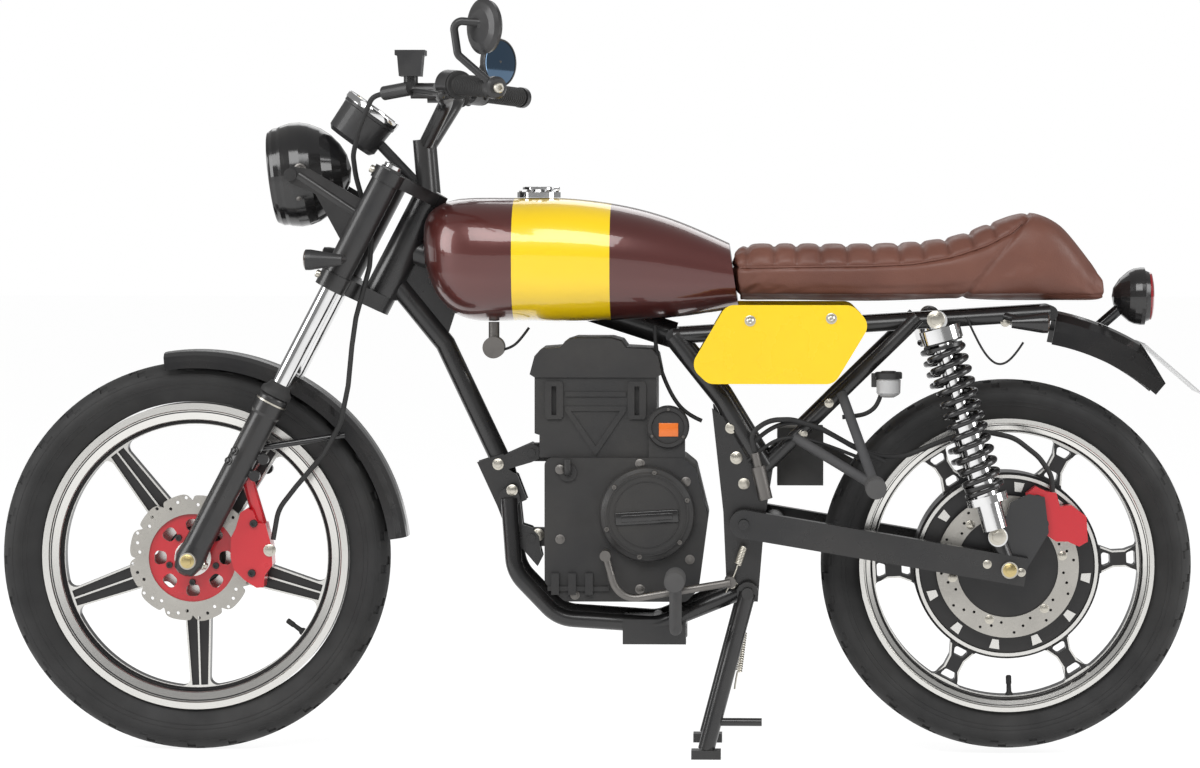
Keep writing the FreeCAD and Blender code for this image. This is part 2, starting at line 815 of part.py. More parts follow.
def make_fork():
    head_low = on_head(-size("head_tube_length") / 2)
    head_high = on_head(size("head_tube_length") / 2)
    lower = (head_low - FRONT_AXLE).dot(FORK) - size("clamp_thickness") / 2 - size("seat_gap")
    upper = (head_high - FRONT_AXLE).dot(FORK) + size("top_clamp_thickness") / 2 + size("seat_gap")
    pieces = clamp_block("lower_yoke", lower, "clamp_thickness")
    pieces += clamp_block("top_yoke", upper, "top_clamp_thickness")
    pieces.append(rod("stem", on_head(-size("head_tube_length / 2 + clamp_thickness / 2")),
                      on_head(size("head_tube_length / 2 + top_clamp_thickness")), "stem_radius"))
    tops = [rod(f"leg_hole_{side}", on_fork(lower - size("clamp_thickness"), sign),
                on_fork(upper + size("top_clamp_thickness"), sign), "stanchion_radius + seat_gap")
            for side, sign in SIDES.items()]
    node(less("fork_clamps", joined("yokes", pieces), tops), "fork_clamps")
    tubes = [rod(f"stanchion_{side}", on_fork(size("slider_length + seat_gap"), sign),
                 on_fork(upper + size("top_clamp_thickness"), sign), "stanchion_radius")
             for side, sign in SIDES.items()]
    node(together("fork_tubes", tubes), "fork_tubes")
    sliders = []
    for side, sign in SIDES.items():
        body = turned(f"slider_{side}",
                      [("-slider_foot", "0"), ("slider_length", "0"),
                       ("slider_length", "slider_radius * 0.82"),
                       ("slider_length - slider_radius * 0.3", "slider_radius"),
                       ("slider_length - slider_radius * 1.4", "slider_radius"),
                       ("slider_length - slider_radius * 1.6", "slider_radius * 0.9"),
                       ("slider_radius", "slider_radius * 0.9"), ("0", "slider_radius"),
                       ("-slider_foot * 0.8", "slider_radius * 0.7"),
                       ("-slider_foot", "slider_radius * 0.3")], on_fork(0, sign), FORK)
        solids = [body]
        for number, share in enumerate(SLIDER_LUG_SHARES):
            root = on_fork(size("slider_length") * share, sign)
            lug = root - AHEAD * size("slider_radius * 1.25")
            flank = LEFT * size("slider_radius * 0.3")
            solids.append(rod(f"slider_lug_{side}_{number}", lug - flank, lug + flank,
                              "slider_radius * 0.35"))
            solids.append(rod(f"slider_arm_{side}_{number}", root, lug, "slider_radius * 0.28"))
        hole = rod(f"axle_hole_{side}", FRONT_AXLE, FRONT_AXLE + LEFT * (sign * size("fork_spread * 2")),
                   "front_axle_radius + bore_gap")
        sliders.append(less(f"slider_bored_{side}", joined(f"slider_solid_{side}", solids), [hole]))
    node(together("fork_sliders", sliders), "fork_sliders")
    covers = []
    for side, sign in SIDES.items():
        start = lower + size("clamp_thickness / 2 + seat_gap")
        end = upper - size("top_clamp_thickness / 2 + seat_gap")
        wall = rod(f"shroud_{side}", on_fork(start, sign), on_fork(end, sign), "shroud_radius")
        hole = rod(f"shroud_hole_{side}", on_fork(start, sign), on_fork(end, sign),
                   "shroud_radius - shroud_wall")
        lamp = Vector(size("lamp_x"), sign * size("fork_spread"), size("lamp_z"))
        root = on_fork((start + end) / 2, sign)
        half = size("ear_height / 2")
        corners = [root + FORK * (half * 1.3), lamp + UP * (half * 0.3) - FORWARD * half,
                   lamp + UP * (half * 0.45), lamp + FORWARD * (half * 0.35), lamp - UP * (half * 0.45),
                   lamp - UP * half - FORWARD * (half * 1.3), root - FORK * (half * 1.5)]
        face = sign * size("lamp_radius + seat_gap")
        corners = [Vector(point.x, face, point.z) for point in corners + corners[:1]]
        ear = formed(f"ear_{side}", Part.Face(Part.makePolygon(corners)).extrude(
            LEFT * (sign * size("ear_thickness"))))
        flank = Vector(lamp.x, face, lamp.z)
        bolt = rod(f"ear_bolt_{side}", flank, flank + LEFT * (sign * size("ear_thickness * 2")),
                   "ear_thickness * 2")
        spine = rod(f"ear_spine_{side}", flank - FORWARD * (half * 0.4),
                    Vector(root.x, face, root.z) + FORK * (half * 0.5), "ear_thickness * 1.6")
        inside = rod(f"ear_clear_{side}", CENTRE + Vector(lamp.x, -face, lamp.z), flank, "lamp_radius * 2")
        spine = less(f"ear_tube_{side}", spine, [inside])
        covers.append(less(f"cover_{side}", joined(f"cover_solid_{side}", [wall, ear, bolt, spine]), [hole]))
    node(together("fork_covers", covers), "fork_covers")
    make_axle("front", FRONT_AXLE, "fork_spread + slider_radius + seat_gap")


SLIDER_LUG_SHARES = (0.56, 0.66)


LAMP_SHARES = [(-0.71, 0.0), (0.26, 0.0), (0.26, 0.90), (0.22, 0.935), (0.16, 0.94), (0.12, 0.965),
               (0.0, 1.0), (-0.12, 0.99), (-0.24, 0.94), (-0.38, 0.83), (-0.50, 0.68), (-0.60, 0.49),
               (-0.67, 0.28)]


def make_headlight():
    at = Vector(size("lamp_x"), 0, size("lamp_z"))
    tilt = Rotation(LEFT, size("lamp_tilt"))
    ahead = tilt.multVec(FORWARD)
    outside = [(f"lamp_depth * {along}", f"lamp_radius * {out}") for along, out in LAMP_SHARES]
    shell = turned("lamp_bowl", outside, at, ahead)
    front = "lamp_depth * 0.26"
    mouth = "lamp_radius * 0.90 - lamp_wall"
    hollow = turned("lamp_hollow", [("-lamp_depth * 0.48", "0"), (f"{front} + lamp_wall", "0"),
                                    (f"{front} + lamp_wall", mouth), ("0", mouth),
                                    ("-lamp_depth * 0.24", "lamp_radius * 0.8"),
                                    ("-lamp_depth * 0.44", "lamp_radius * 0.5")], at, ahead)
    node(less("headlight_shell", shell, [hollow]), "headlight_shell")
    rim = "lamp_radius * 0.90 - lamp_wall - seat_gap"
    node(turned("headlight_lens", [(f"{front} - lens_thickness", "0"), (f"{front} + lens_rise", "0"),
                                   (f"{front} + lens_rise * 0.92", "lamp_radius * 0.3"),
                                   (f"{front} + lens_rise * 0.62", "lamp_radius * 0.6"),
                                   (front, rim), (f"{front} - lens_thickness", rim)], at, ahead),
         "headlight_lens")


def make_gauge():
    at = Vector(size("gauge_x"), 0, size("gauge_z"))
    axis = Rotation(LEFT, -size("gauge_tilt")).multVec(UP)
    half = "gauge_depth / 2"
    cup = turned("gauge_cup", [(f"-{half}", "0"), (f"{half} - lamp_wall", "0"),
                               (f"{half} - lamp_wall", "gauge_radius - lamp_wall"),
                               (half, "gauge_radius - lamp_wall"), (half, "gauge_radius"),
                               ("gauge_depth * 0.3", "gauge_radius"),
                               ("gauge_depth * 0.28", "gauge_radius * 0.97"),
                               (f"-{half} * 0.8", "gauge_radius * 0.92"),
                               (f"-{half}", "gauge_radius * 0.8")], at, axis)
    top = on_head(size("head_tube_length / 2 + seat_gap * 2 + top_clamp_thickness"))
    foot = top + AHEAD * size("fork_offset / 2")
    stalk = rod("gauge_stalk", foot - (at - foot) * 0.1, at, "gauge_stalk_radius")
    seat = rod("gauge_seat", HEAD, top, "fork_offset")
    node(less("instrument", joined("gauge_solid", [cup, stalk]), [seat]), "instrument")


def bar_corner(side, name):
    """A corner of the handlebar on one side: its tip, elbow, shoulder or foot."""
    return Vector(size(f"bar_{name}_x"), side * size(f"bar_{name}_y"), size(f"bar_{name}_z"))


def bar_point(side, distance):
    """A point on the outer, straight end of the handlebar, from its tip inward."""
    inward = bar_corner(side, "elbow") - bar_corner(side, "tip")
    inward.normalize()
    return bar_corner(side, "tip") + inward * distance


def make_bars():
    route = [bar_corner(1, name) for name in ("tip", "elbow", "shoulder", "foot")]
    route += [bar_corner(-1, name) for name in ("foot", "shoulder", "elbow", "tip")]
    bar = tube("bar_tube", route, size("bar_radius"), size("bar_bend"))
    top = on_head(size("head_tube_length / 2 + seat_gap * 2 + top_clamp_thickness"))
    risers = []
    for side, sign in SIDES.items():
        foot = top + LEFT * (sign * size("riser_spread")) - FORK * size("riser_radius")
        head = Vector(size("bar_foot_x"), sign * size("riser_spread"), size("bar_foot_z"))
        rise = head - foot
        rise.normalize()
        risers.append(rod(f"riser_{side}", foot, head + rise * size("riser_radius"), "riser_radius"))
    seat = rod("riser_seat", HEAD, top, "riser_spread * 4")
    node(less("handlebar", joined("bar_solid", [bar] + risers), [seat]), "handlebar")
    grips = []
    for side, sign in SIDES.items():
        grip = turned(f"grip_{side}", [("0", "0"), ("grip_length", "0"),
                                       ("grip_length", "grip_radius * 1.35"),
                                       ("grip_length - grip_radius * 0.3", "grip_radius * 1.35"),
                                       ("grip_length - grip_radius * 0.4", "grip_radius"),
                                       ("grip_radius", "grip_radius"), ("0", "grip_radius * 0.9")],
                      bar_point(sign, 0), bar_point(sign, size("grip_length")) - bar_point(sign, 0))
        hole = rod(f"grip_hole_{side}", bar_point(sign, -size("grip_radius")),
                   bar_point(sign, size("grip_length + grip_radius")), "bar_radius + seat_gap")
        grips.append(less(f"grip_bored_{side}", grip, [hole]))
    node(together("grips", grips), "grips")
    make_controls()
    make_mirrors()


def make_controls():
    pieces = []
    for side, sign in SIDES.items():
        shell = rod(f"switch_{side}", bar_point(sign, size("grip_length + seat_gap")),
                    bar_point(sign, size("grip_length + switch_length")), "switch_radius")
        elbow = bar_corner(sign, "elbow")
        shoulder = bar_corner(sign, "shoulder")
        inward = lever_inward(sign)
        perch = elbow + inward * size("switch_length * 1.2")
        flank = inward * size("switch_length * 0.35")
        ring = rod(f"perch_ring_{side}", perch - flank, perch + flank, "bar_radius * 1.6")
        front = perch + FORWARD * size("lever_reach")
        arm = rod(f"perch_{side}", perch, front, "bar_radius * 1.1")
        outward = bar_point(sign, 0) - bar_point(sign, size("grip_length"))
        outward.normalize()
        knee = front + outward * size("lever_length * 0.6") + FORWARD * size("lever_thickness")
        lever = tube(f"lever_{side}", [front, knee, knee + outward * size("lever_length * 0.4")
                                       + FORWARD * size("lever_thickness * 2")],
                     size("lever_thickness / 2"), size("lever_length"))
        ball = doc.addObject("Part::Sphere", f"lever_ball_{side}")
        ball.setExpression("Radius", bound("lever_thickness * 0.8"))
        ball.Placement = Placement(knee + outward * size("lever_length * 0.4")
                                   + FORWARD * size("lever_thickness * 2"), Rotation())
        way = rod(f"switch_hole_{side}", bar_point(sign, size("grip_length") * 0.9),
                  bar_point(sign, size("grip_length + switch_length * 1.1")), "bar_radius + seat_gap")
        hole = rod(f"perch_hole_{side}", elbow, shoulder, "bar_radius + seat_gap")
        solids = [ring, arm, lever, ball]
        if side == "left":
            middle = front + UP * size("reservoir_rise")
            cup = slab("fluid_cup", [(f"reservoir_width * {across}", f"reservoir_height * {up}")
                                     for across, up in RESERVOIR_SHARES], "reservoir_length", middle)
            cylinder = rod("master_cylinder", lever_root(), master_end(), "bar_radius")
            solids += [cup, cylinder, rod("cup_neck", front, middle, "bar_radius")]
        pieces.append(less(f"control_{side}", joined(f"control_solid_{side}", solids), [hole]))
        pieces.append(less(f"switchgear_{side}", shell, [way]))
    node(together("bar_controls", pieces), "bar_controls")


RESERVOIR_SHARES = [(-0.36, -0.5), (0.36, -0.5), (0.42, 0.28), (0.5, 0.3), (0.5, 0.5), (-0.5, 0.5),
                    (-0.5, 0.3), (-0.42, 0.28)]
MIRROR_SHARES = [(0.0, 0.0), (0.62, 0.54), (0.70, 1.10), (0.24, 1.06)]


def make_mirrors():
    pieces = []
    for side, sign in SIDES.items():
        tip = bar_point(sign, 0)
        outward = tip - bar_point(sign, size("grip_length"))
        outward.normalize()
        cap = turned(f"bar_end_{side}", [("seat_gap", "0"), ("seat_gap + bar_end_length", "0"),
                                         ("seat_gap + bar_end_length", "bar_end_radius * 0.8"),
                                         ("seat_gap + bar_end_length * 0.7", "bar_end_radius"),
                                         ("seat_gap", "bar_end_radius")], tip, outward)
        end = tip + outward * size("bar_end_length / 2")
        rise = size(f"mirror_rise_{side}")
        fold = Rotation(LEFT, size(f"mirror_fold_{side}"))
        route = [end + fold.multVec(Vector(ahead, 0, up) * rise) for ahead, up in MIRROR_SHARES]
        stem = tube(f"mirror_stem_{side}", route, size("mirror_stem_radius"), size("mirror_stem_radius * 2"))
        head = end + fold.multVec(Vector(size("mirror_radius * 0.45"), 0, rise))
        facing = Vector(-1, -sign * MIRROR_TURN_SHARE, 0)
        half = "mirror_thickness / 2"
        disc = turned(f"mirror_disc_{side}", [(f"-{half}", "0"), (half, "0"), (half, "mirror_radius * 0.94"),
                                              ("0", "mirror_radius"), (f"-{half} * 0.6",
                                                                       "mirror_radius * 0.85"),
                                              (f"-{half}", "mirror_radius * 0.6")], head, facing)
        link = rod(f"mirror_link_{side}", route[-1], head, "mirror_stem_radius * 1.3")
        seat = rod(f"mirror_seat_{side}", tip + outward * size("seat_gap"),
                   bar_point(sign, size("grip_length")), "grip_radius * 1.35 + seat_gap")
        pieces.append(less(f"mirror_{side}", joined(f"mirror_solid_{side}", [cap, stem, disc, link]), [seat]))
    node(together("mirrors", pieces), "mirrors")


MIRROR_TURN_SHARE = 0.8
CROWN_SHARES = [(1.0, 1.0), (0.97, 0.6), (0.86, 0.28), (0.62, 0.07), (0.3, 0.0)]


def fender_points(half, outer, skirt, wall):
    """A rounded fender's section, with an even wall, from one edge over the crown to the other."""
    crown = [(f"{half} * {across}", f"{outer} - {skirt} * {drop}") for across, drop in CROWN_SHARES]
    inside = [(f"({half} - {wall}) * {across}", f"{outer} - {wall} - ({skirt} - {wall}) * {drop}")
              for across, drop in CROWN_SHARES]
    mirrored = [(f"-({across})", out) for across, out in crown]
    hollow = [(f"-({across})", out) for across, out in inside]
    return mirrored + crown[::-1] + inside + hollow[::-1]


def make_front_fender():
    centre = Vector(size("front_arch_x"), 0, size("front_arch_z"))
    body = new_body("fender_shell", centre, Rotation(LEFT, HALF_TURN - size("fender_rear_angle"))
                    * Rotation(FORWARD, LEFT))
    feature = spin(body, fender_points("fender_half_width", "front_arch", "fender_skirt", "fender_wall"))
    feature.setExpression("Angle", bound("fender_rear_angle - fender_front_angle"))
    stays = []
    for side, sign in SIDES.items():
        for number, (share, degrees) in enumerate(FENDER_STAY_SHARES):
            root = on_fork(size("slider_length") * share, sign) - LEFT * (sign * size("slider_radius * 0.8"))
            angle = math.radians(size("fender_front_angle") * degrees)
            reach = size("front_arch - fender_skirt * 0.9")
            edge = centre + Vector(reach * math.cos(angle),
                                   sign * size("fender_half_width - fender_wall / 2"),
                                   reach * math.sin(angle))
            stays.append(rod(f"fender_stay_{side}_{number}", root, edge, "fender_stay_radius"))
    legs = [rod(f"fender_seat_{side}", on_fork(0, sign), on_fork(size("slider_length"), sign),
                "slider_radius + seat_gap") for side, sign in SIDES.items()]
    node(less("front_fender", joined("fender_solid", [body] + stays), legs), "front_fender")


FENDER_STAY_SHARES = [(0.78, 1.42), (0.66, 1.72)]
CALIPER_SHARES = [(0.78, 0.73), (0.89, 0.80), (0.98, 0.75), (1.05, 0.56), (1.17, 0.56), (1.26, 0.22),
                  (1.28, -0.09), (1.16, -0.25), (1.14, -0.44), (1.03, -0.45), (0.84, -0.33), (0.67, -0.16),
                  (0.62, 0.03), (0.63, 0.34), (0.70, 0.47)]


def make_front_brake():
    corners = [(f"front_axle_x - front_disc_radius * {back}", f"front_tyre_radius + front_disc_radius * {up}")
               for back, up in CALIPER_SHARES]
    body = slab("caliper_block", corners, "caliper_width", LEFT * size("front_disc_y"))
    near = "front_disc_y - disc_slot / 2"
    far = "front_disc_y + disc_slot / 2"
    slot = turned("caliper_slot", [(near, "0"), (far, "0"), (far, "front_disc_radius + disc_slot / 2"),
                                   (near, "front_disc_radius + disc_slot / 2")], FRONT_AXLE, LEFT)
    behind = FRONT_AXLE + Vector(-size("front_disc_radius") * 1.1, size("front_disc_y"),
                                 size("front_disc_radius") * 0.45)
    bar = rod("caliper_lug", behind, on_fork(size("slider_length") * SLIDER_LUG_SHARES[0], 1)
              - LEFT * size("slider_radius * 0.7") - AHEAD * size("slider_radius * 0.4"), "fender_stay_radius * 2")
    inside = turned("caliper_clear", [(f"-{near}", "0"), (near, "0"), (near, "carrier_radius + disc_slot"),
                                      (f"-{near}", "carrier_radius + disc_slot")], FRONT_AXLE, LEFT)
    leg = rod("caliper_leg", on_fork(0, 1), on_fork(size("slider_length"), 1), "slider_radius + seat_gap")
    lugs = []
    for number, share in enumerate(SLIDER_LUG_SHARES):
        root = on_fork(size("slider_length") * share, 1) - AHEAD * size("slider_radius * 1.25")
        flank = LEFT * size("slider_radius * 0.3 + seat_gap")
        lugs.append(rod(f"lug_seat_{number}", root - flank, root + flank, "slider_radius * 0.35 + seat_gap"))
        lugs.append(rod(f"lug_arm_seat_{number}", on_fork(size("slider_length") * share, 1), root,
                        "slider_radius * 0.28 + seat_gap"))
    node(less("front_caliper", joined("caliper_solid", [body, bar]), [slot, inside, leg] + lugs),
         "front_caliper")


def make_front_indicators():
    pieces = []
    distance = (on_head(-size("head_tube_length") / 2) - FRONT_AXLE).dot(FORK) + size("clamp_thickness")
    for side, sign in SIDES.items():
        root = on_fork(distance, sign) + LEFT * (sign * size("shroud_radius * 0.8"))
        head = Vector(root.x + size("indicator_length * 0.5"), sign * size("indicator_y"), root.z)
        pieces.append(indicator(f"front_indicator_{side}", root, head, FORWARD))
    seats = [rod(f"indicator_seat_{side}", on_fork(distance * 0.9, sign), on_fork(distance * 1.1, sign),
                 "shroud_radius + seat_gap") for side, sign in SIDES.items()]
    pieces = [less(f"front_indicator_fitted_{number}", piece, [seat])
              for number, (piece, seat) in enumerate(zip(pieces, seats))]
    node(together("front_indicators", pieces), "front_indicators")


def indicator(name, root, head, facing):
    """A small lamp on a stem, wider towards its lens."""
    stem = rod(f"{name}_stem", root, head, "indicator_stem_radius")
    cone = turned(f"{name}_cone", [("-indicator_length / 2", "0"), ("indicator_length / 2", "0"),
                                   ("indicator_length / 2", "indicator_radius"),
                                   ("indicator_length * 0.35", "indicator_radius"),
                                   ("-indicator_length / 2", "indicator_radius / 2")], head, facing)
    return joined(f"{name}_solid", [stem, cone])


def route(name, start, middle, end):
    """A hose from one fitting to another: runs and arcs as large as the runs allow."""
    points = [start] + [Vector(*point) for point in middle] + [end]
    return tube(name, points, size("hose_radius"), size("hose_bend"))


# The hoses' own points, kept as they lie on the motorcycle, in millimetres.

FRONT_HOSE = [(343, 150, 1026), (365, 130, 978), (377, 100, 937), (375, 74, 904), (363, 61, 858),
              (352, 60, 806),
              (355, 61, 764), (366, 64, 722), (376, 68, 684), (382, 72, 640), (388, 72, 578), (400, 72, 519),
              (426, 72, 471), (470, 72, 420), (498, 72, 384)]
REAR_HOSE = [(-240, 106, 506), (-268, 103, 527), (-305, 102, 528), (-350, 102, 514), (-396, 100, 488),
             (-440, 92, 470), (-480, 84, 470), (-521, 80, 487), (-562, 78, 503), (-606, 78, 508),
             (-650, 78, 499), (-688, 78, 469), (-708, 78, 440)]


def lever_inward(side):
    """The way inward along the handlebar where the lever sits."""
    inward = bar_corner(side, "shoulder") - bar_corner(side, "elbow")
    inward.normalize()
    return inward


def lever_root():
    """Where the hand lever's cylinder starts, on its outer side."""
    front = bar_corner(1,
                       "elbow") + lever_inward(1) * size("switch_length * 1.2") + FORWARD * size("lever_reach")
    return front - lever_inward(1) * size("reservoir_length * 0.3")


def master_end():
    """Where the hose leaves the hand lever's cylinder."""
    return lever_root() + FORWARD * size("lever_reach * 0.8") + lever_inward(1) * size("reservoir_length * 0.6")


def make_front_hose():
    end = FRONT_AXLE + Vector(-size("front_disc_radius * 1.239 + hose_radius + seat_gap"),
                              size("front_disc_y + caliper_width * 0.3"), size("front_disc_radius * 0.3"))
    along = master_end() - lever_root()
    along.normalize()
    start = master_end() + along * size("hose_radius * 0.3 + seat_gap")
    node(route("front_brake_hose", start, FRONT_HOSE, end), "front_brake_hose")


# Frame


def side_tubes(name, route, radius, bend):
    """One tube on each side through the same shared places."""
    return [tube(f"{name}_{side}", [spot(place, sign) for place in route], size(radius), size(bend))
            for side, sign in SIDES.items()]


def make_head_tube():
    half = size("head_tube_length / 2")
    shell = rod("head_shell", on_head(-half), on_head(half), "head_tube_radius")
    spine = rod("spine", HEAD, spot("spine_rear"), "spine_radius")
    low = rod("downtube_upper", on_head(-half * 0.62), spot("downtube_mid"), "tube_radius")
    down = rod("downtube_lower", spot("downtube_mid"), spot("downtube_low"), "tube_radius")
    knee = doc.addObject("Part::Sphere", "downtube_knee")
    knee.setExpression("Radius", bound("tube_radius"))
    knee.Placement = Placement(spot("downtube_mid"), Rotation())
    corners = [on_head(half * 0.3), on_head(-half * 0.85), spot("downtube_mid"),
               HEAD + (spot("spine_rear") - HEAD) * 0.24]
    lift = LEFT * size("gusset_thickness / 2")
    gusset = formed("head_gusset", Part.Face(Part.makePolygon(
        [corner - lift for corner in corners + corners[:1]])).extrude(lift * 2))
    bore = rod("head_bore", on_head(-half * 1.1), on_head(half * 1.1), "stem_radius + bore_gap")
    solid = joined("frame_head_solid", [shell, spine, low, down, knee, gusset])
    node(less("frame_head", solid, [bore]), "frame_head")


PLATE_SHARES = [(1.86, 1.05), (0.96, 1.17), (0.80, 0.96), (0.48, 0.87), (0.16, 0.53), (0.38, 0.49),
                (0.30, 0.18),
                (0.0, 0.14), (-0.26, 0.02), (-0.30, -0.15), (-0.37, -0.27), (-0.21, -0.40), (0.38, -0.12),
                (0.85, 0.10), (1.17, 0.44)]
STRAP_SHARES = [(1.0, 0.93), (1.0, 1.14), (0.0, 1.32), (-0.26, 1.26), (-0.26, 1.10), (0.0, 1.05)]


def make_cradle():
    """The lower loop, with the plates that clamp the downtube and hold the drive housing."""
    pieces = side_tubes("cradle", ["cradle_front", "cradle_bend", "cradle_low", "cradle_rear",
                                   "cradle_end"], "cradle_radius", "frame_bend")
    pieces.append(rod("cradle_yoke", spot("cradle_front", 1), spot("cradle_front", -1),
                      "cradle_radius * 1.3"))
    pieces.append(rod("cradle_bridge", spot("cradle_rear", 1), spot("cradle_rear", -1), "cradle_radius"))
    middle = Vector(size("cradle_front_x"), 0, size("cradle_front_z"))
    pieces.append(rod("cradle_mount", spot("downtube_low"), middle, "tube_radius * 1.15"))
    lug_x, lug_z = lug_place(LUG_RISE_SHARES[1])
    for side, sign in SIDES.items():
        at = LEFT * (sign * size("tube_radius + seat_gap + gusset_thickness / 2"))
        for name, shares in (("plate", PLATE_SHARES), ("strap", STRAP_SHARES)):
            corners = [(f"{lug_x} + (downtube_low_x - {lug_x}) * {along}",
                        f"{lug_z} + (downtube_low_z - {lug_z}) * {rise}") for along, rise in shares]
            pieces.append(slab(f"mount_{name}_{side}", corners, "gusset_thickness", at))
    reach = LEFT * size("tube_radius + gusset_thickness * 1.6")
    for number, rise in enumerate(LUG_RISE_SHARES):
        place_x, place_z = lug_place(rise)
        lug = Vector(size(place_x), 0, size(place_z))
        pieces.append(rod(f"mount_bolt_{number}", lug - reach, lug + reach, "pivot_bolt_radius * 0.8"))
    wide = "(cradle_rear_y + cradle_radius)"
    pieces.append(block("peg_channel", ("peg_x - peg_radius", f"-{wide}",
                                        "cradle_rear_z - cradle_radius * 2.3"),
                        ("peg_x + peg_radius * 5.6", wide, "cradle_rear_z + cradle_radius * 0.7")))
    inside = "(cradle_rear_y - cradle_radius)"
    hollow = block("peg_hollow", ("peg_x - peg_radius * 2", f"-{inside}",
                                  "cradle_rear_z - cradle_radius * 4"),
                   ("peg_x + peg_radius * 8", inside, "cradle_rear_z - cradle_radius * 0.2"))
    clear = rod("downtube_seat", spot("downtube_mid"), spot("downtube_low"), "tube_radius + seat_gap")
    node(less("frame_cradle", joined("cradle_solid", pieces), [clear, hollow]), "frame_cradle")


def make_subframe():
    """Pillars, seat rails and stays, with the plates that hold the swingarm."""
    pillars = side_tubes("pillar", ["pillar_top", "pillar_mid", "stay_low"], "tube_radius", "frame_bend")
    rails = side_tubes("rail", ["pillar_top", "rail_rear"], "rail_radius", "frame_bend")
    stays = side_tubes("stay", ["stay_top", "stay_low"], "stay_radius", "frame_bend")
    loop = rod("rail_loop", spot("rail_rear", 1), spot("rail_rear", -1), "rail_radius")
    brace = rod("pillar_brace", spot("pillar_top", 1), spot("pillar_top", -1), "rail_radius")
    plates = []
    for side, sign in SIDES.items():
        corners = [("pillar_mid_x + tube_radius", "pillar_mid_z - tube_radius"),
                   ("stay_low_x - tube_radius", "stay_low_z + tube_radius"),
                   ("swing_pivot_x - tube_radius * 2", "swing_pivot_z"),
                   ("stand_pivot_x - tube_radius", "stand_pivot_z - tube_radius"),
                   ("cradle_end_x + tube_radius * 2", "cradle_end_z - tube_radius"),
                   ("swing_pivot_x + tube_radius * 2", "swing_pivot_z + tube_radius")]
        at = LEFT * (sign * size("pivot_plate_y"))
        plates.append(slab(f"pivot_plate_{side}", corners, "pivot_plate_thickness", at))
        top = spot("shock_top") + LEFT * (sign * size("stay_top_y - stay_radius"))
        end = spot("shock_top") + LEFT * (sign * size("shock_y + eye_length / 2"))
        plates.append(rod(f"shock_stud_{side}", top, end, "pivot_bolt_radius"))
    near = spot("swing_pivot") + LEFT * size("arm_y + arm_width / 2 + axle_nut_length")
    plates.append(rod("swing_bolt", near, spot("swing_pivot", -1) * 2 - near, "pivot_bolt_radius"))
    near = spot("stand_pivot") + LEFT * size("stand_half_width + stand_tube_radius")
    plates.append(rod("stand_bolt", near, spot("stand_pivot", -1) * 2 - near, "stand_pivot_radius"))
    solid = joined("subframe_solid", pillars + rails + stays + plates + [loop, brace])
    clear = side_tubes("cradle_seat", ["cradle_rear", "cradle_end"], "cradle_radius + seat_gap",
                       "frame_bend")
    spine = rod("spine_seat", HEAD, spot("spine_rear"), "spine_radius + seat_gap")
    node(less("frame_rear", solid, clear + [spine]), "frame_rear")


# Drive unit

CASE_SHARES = [(1.0, 1.0), (0.10, 1.0), (0.02, 0.93), (-0.06, 0.58), (0.0, 0.09), (0.08, 0.0), (0.87, 0.0),
               (1.0, 0.13)]
CAP_SHARES = [(-1.0, 0.0), (-1.08, 0.10), (-1.02, 0.72), (-0.93, 0.95), (-0.50, 1.0), (-0.42, 1.22),
              (-0.25, 1.32), (0.35, 1.32), (0.50, 1.22), (0.58, 1.0), (0.90, 0.95), (1.0, 0.72), (1.08, 0.10),
              (1.0, 0.0)]
BOX_SHARES = [(-1.0, 1.0), (1.0, 1.0), (1.0, 0.30), (0.92, 0.28), (0.92, 0.0), (-0.96, 0.0), (-0.96, 0.28),
              (-1.0, 0.30)]
PAD_SHARES = [(0.56, 0.05), (0.80, 0.05), (0.83, 0.09), (0.83, 0.48), (0.80, 0.52), (0.56, 0.52),
              (0.53, 0.48),
              (0.53, 0.09)]
SLOT_SHARES = [(0.64, 0.11), (0.72, 0.11), (0.72, 0.47), (0.64, 0.47)]
VEE_SHARES = [[(0.50, 0.42), (0.40, 0.42), (0.0, 0.86), (0.0, 0.98)], [(-0.50, 0.42), (-0.40, 0.42),
              (0.0, 0.86), (0.0, 0.98)], [(0.50, 0.18), (-0.50, 0.18), (-0.50, 0.24), (0.50, 0.24)],
              [(0.50, 0.36), (-0.50, 0.36), (-0.50, 0.42), (0.50, 0.42)]]
FIN_SHARES = [(0.93, 0.05, 0.20), (0.82, 0.05, 0.20), (0.71, 0.05, 0.20)]
LUG_RISE_SHARES = (0.577, 0.238)


def shared_outline(shares, middle, half, high, depth):
    """An outline around a middle line, as shares of a half width and of a depth below a top."""
    return [(f"{middle} + {half} * {across}", f"{high} - {depth} * {drop}") for across, drop in shares]


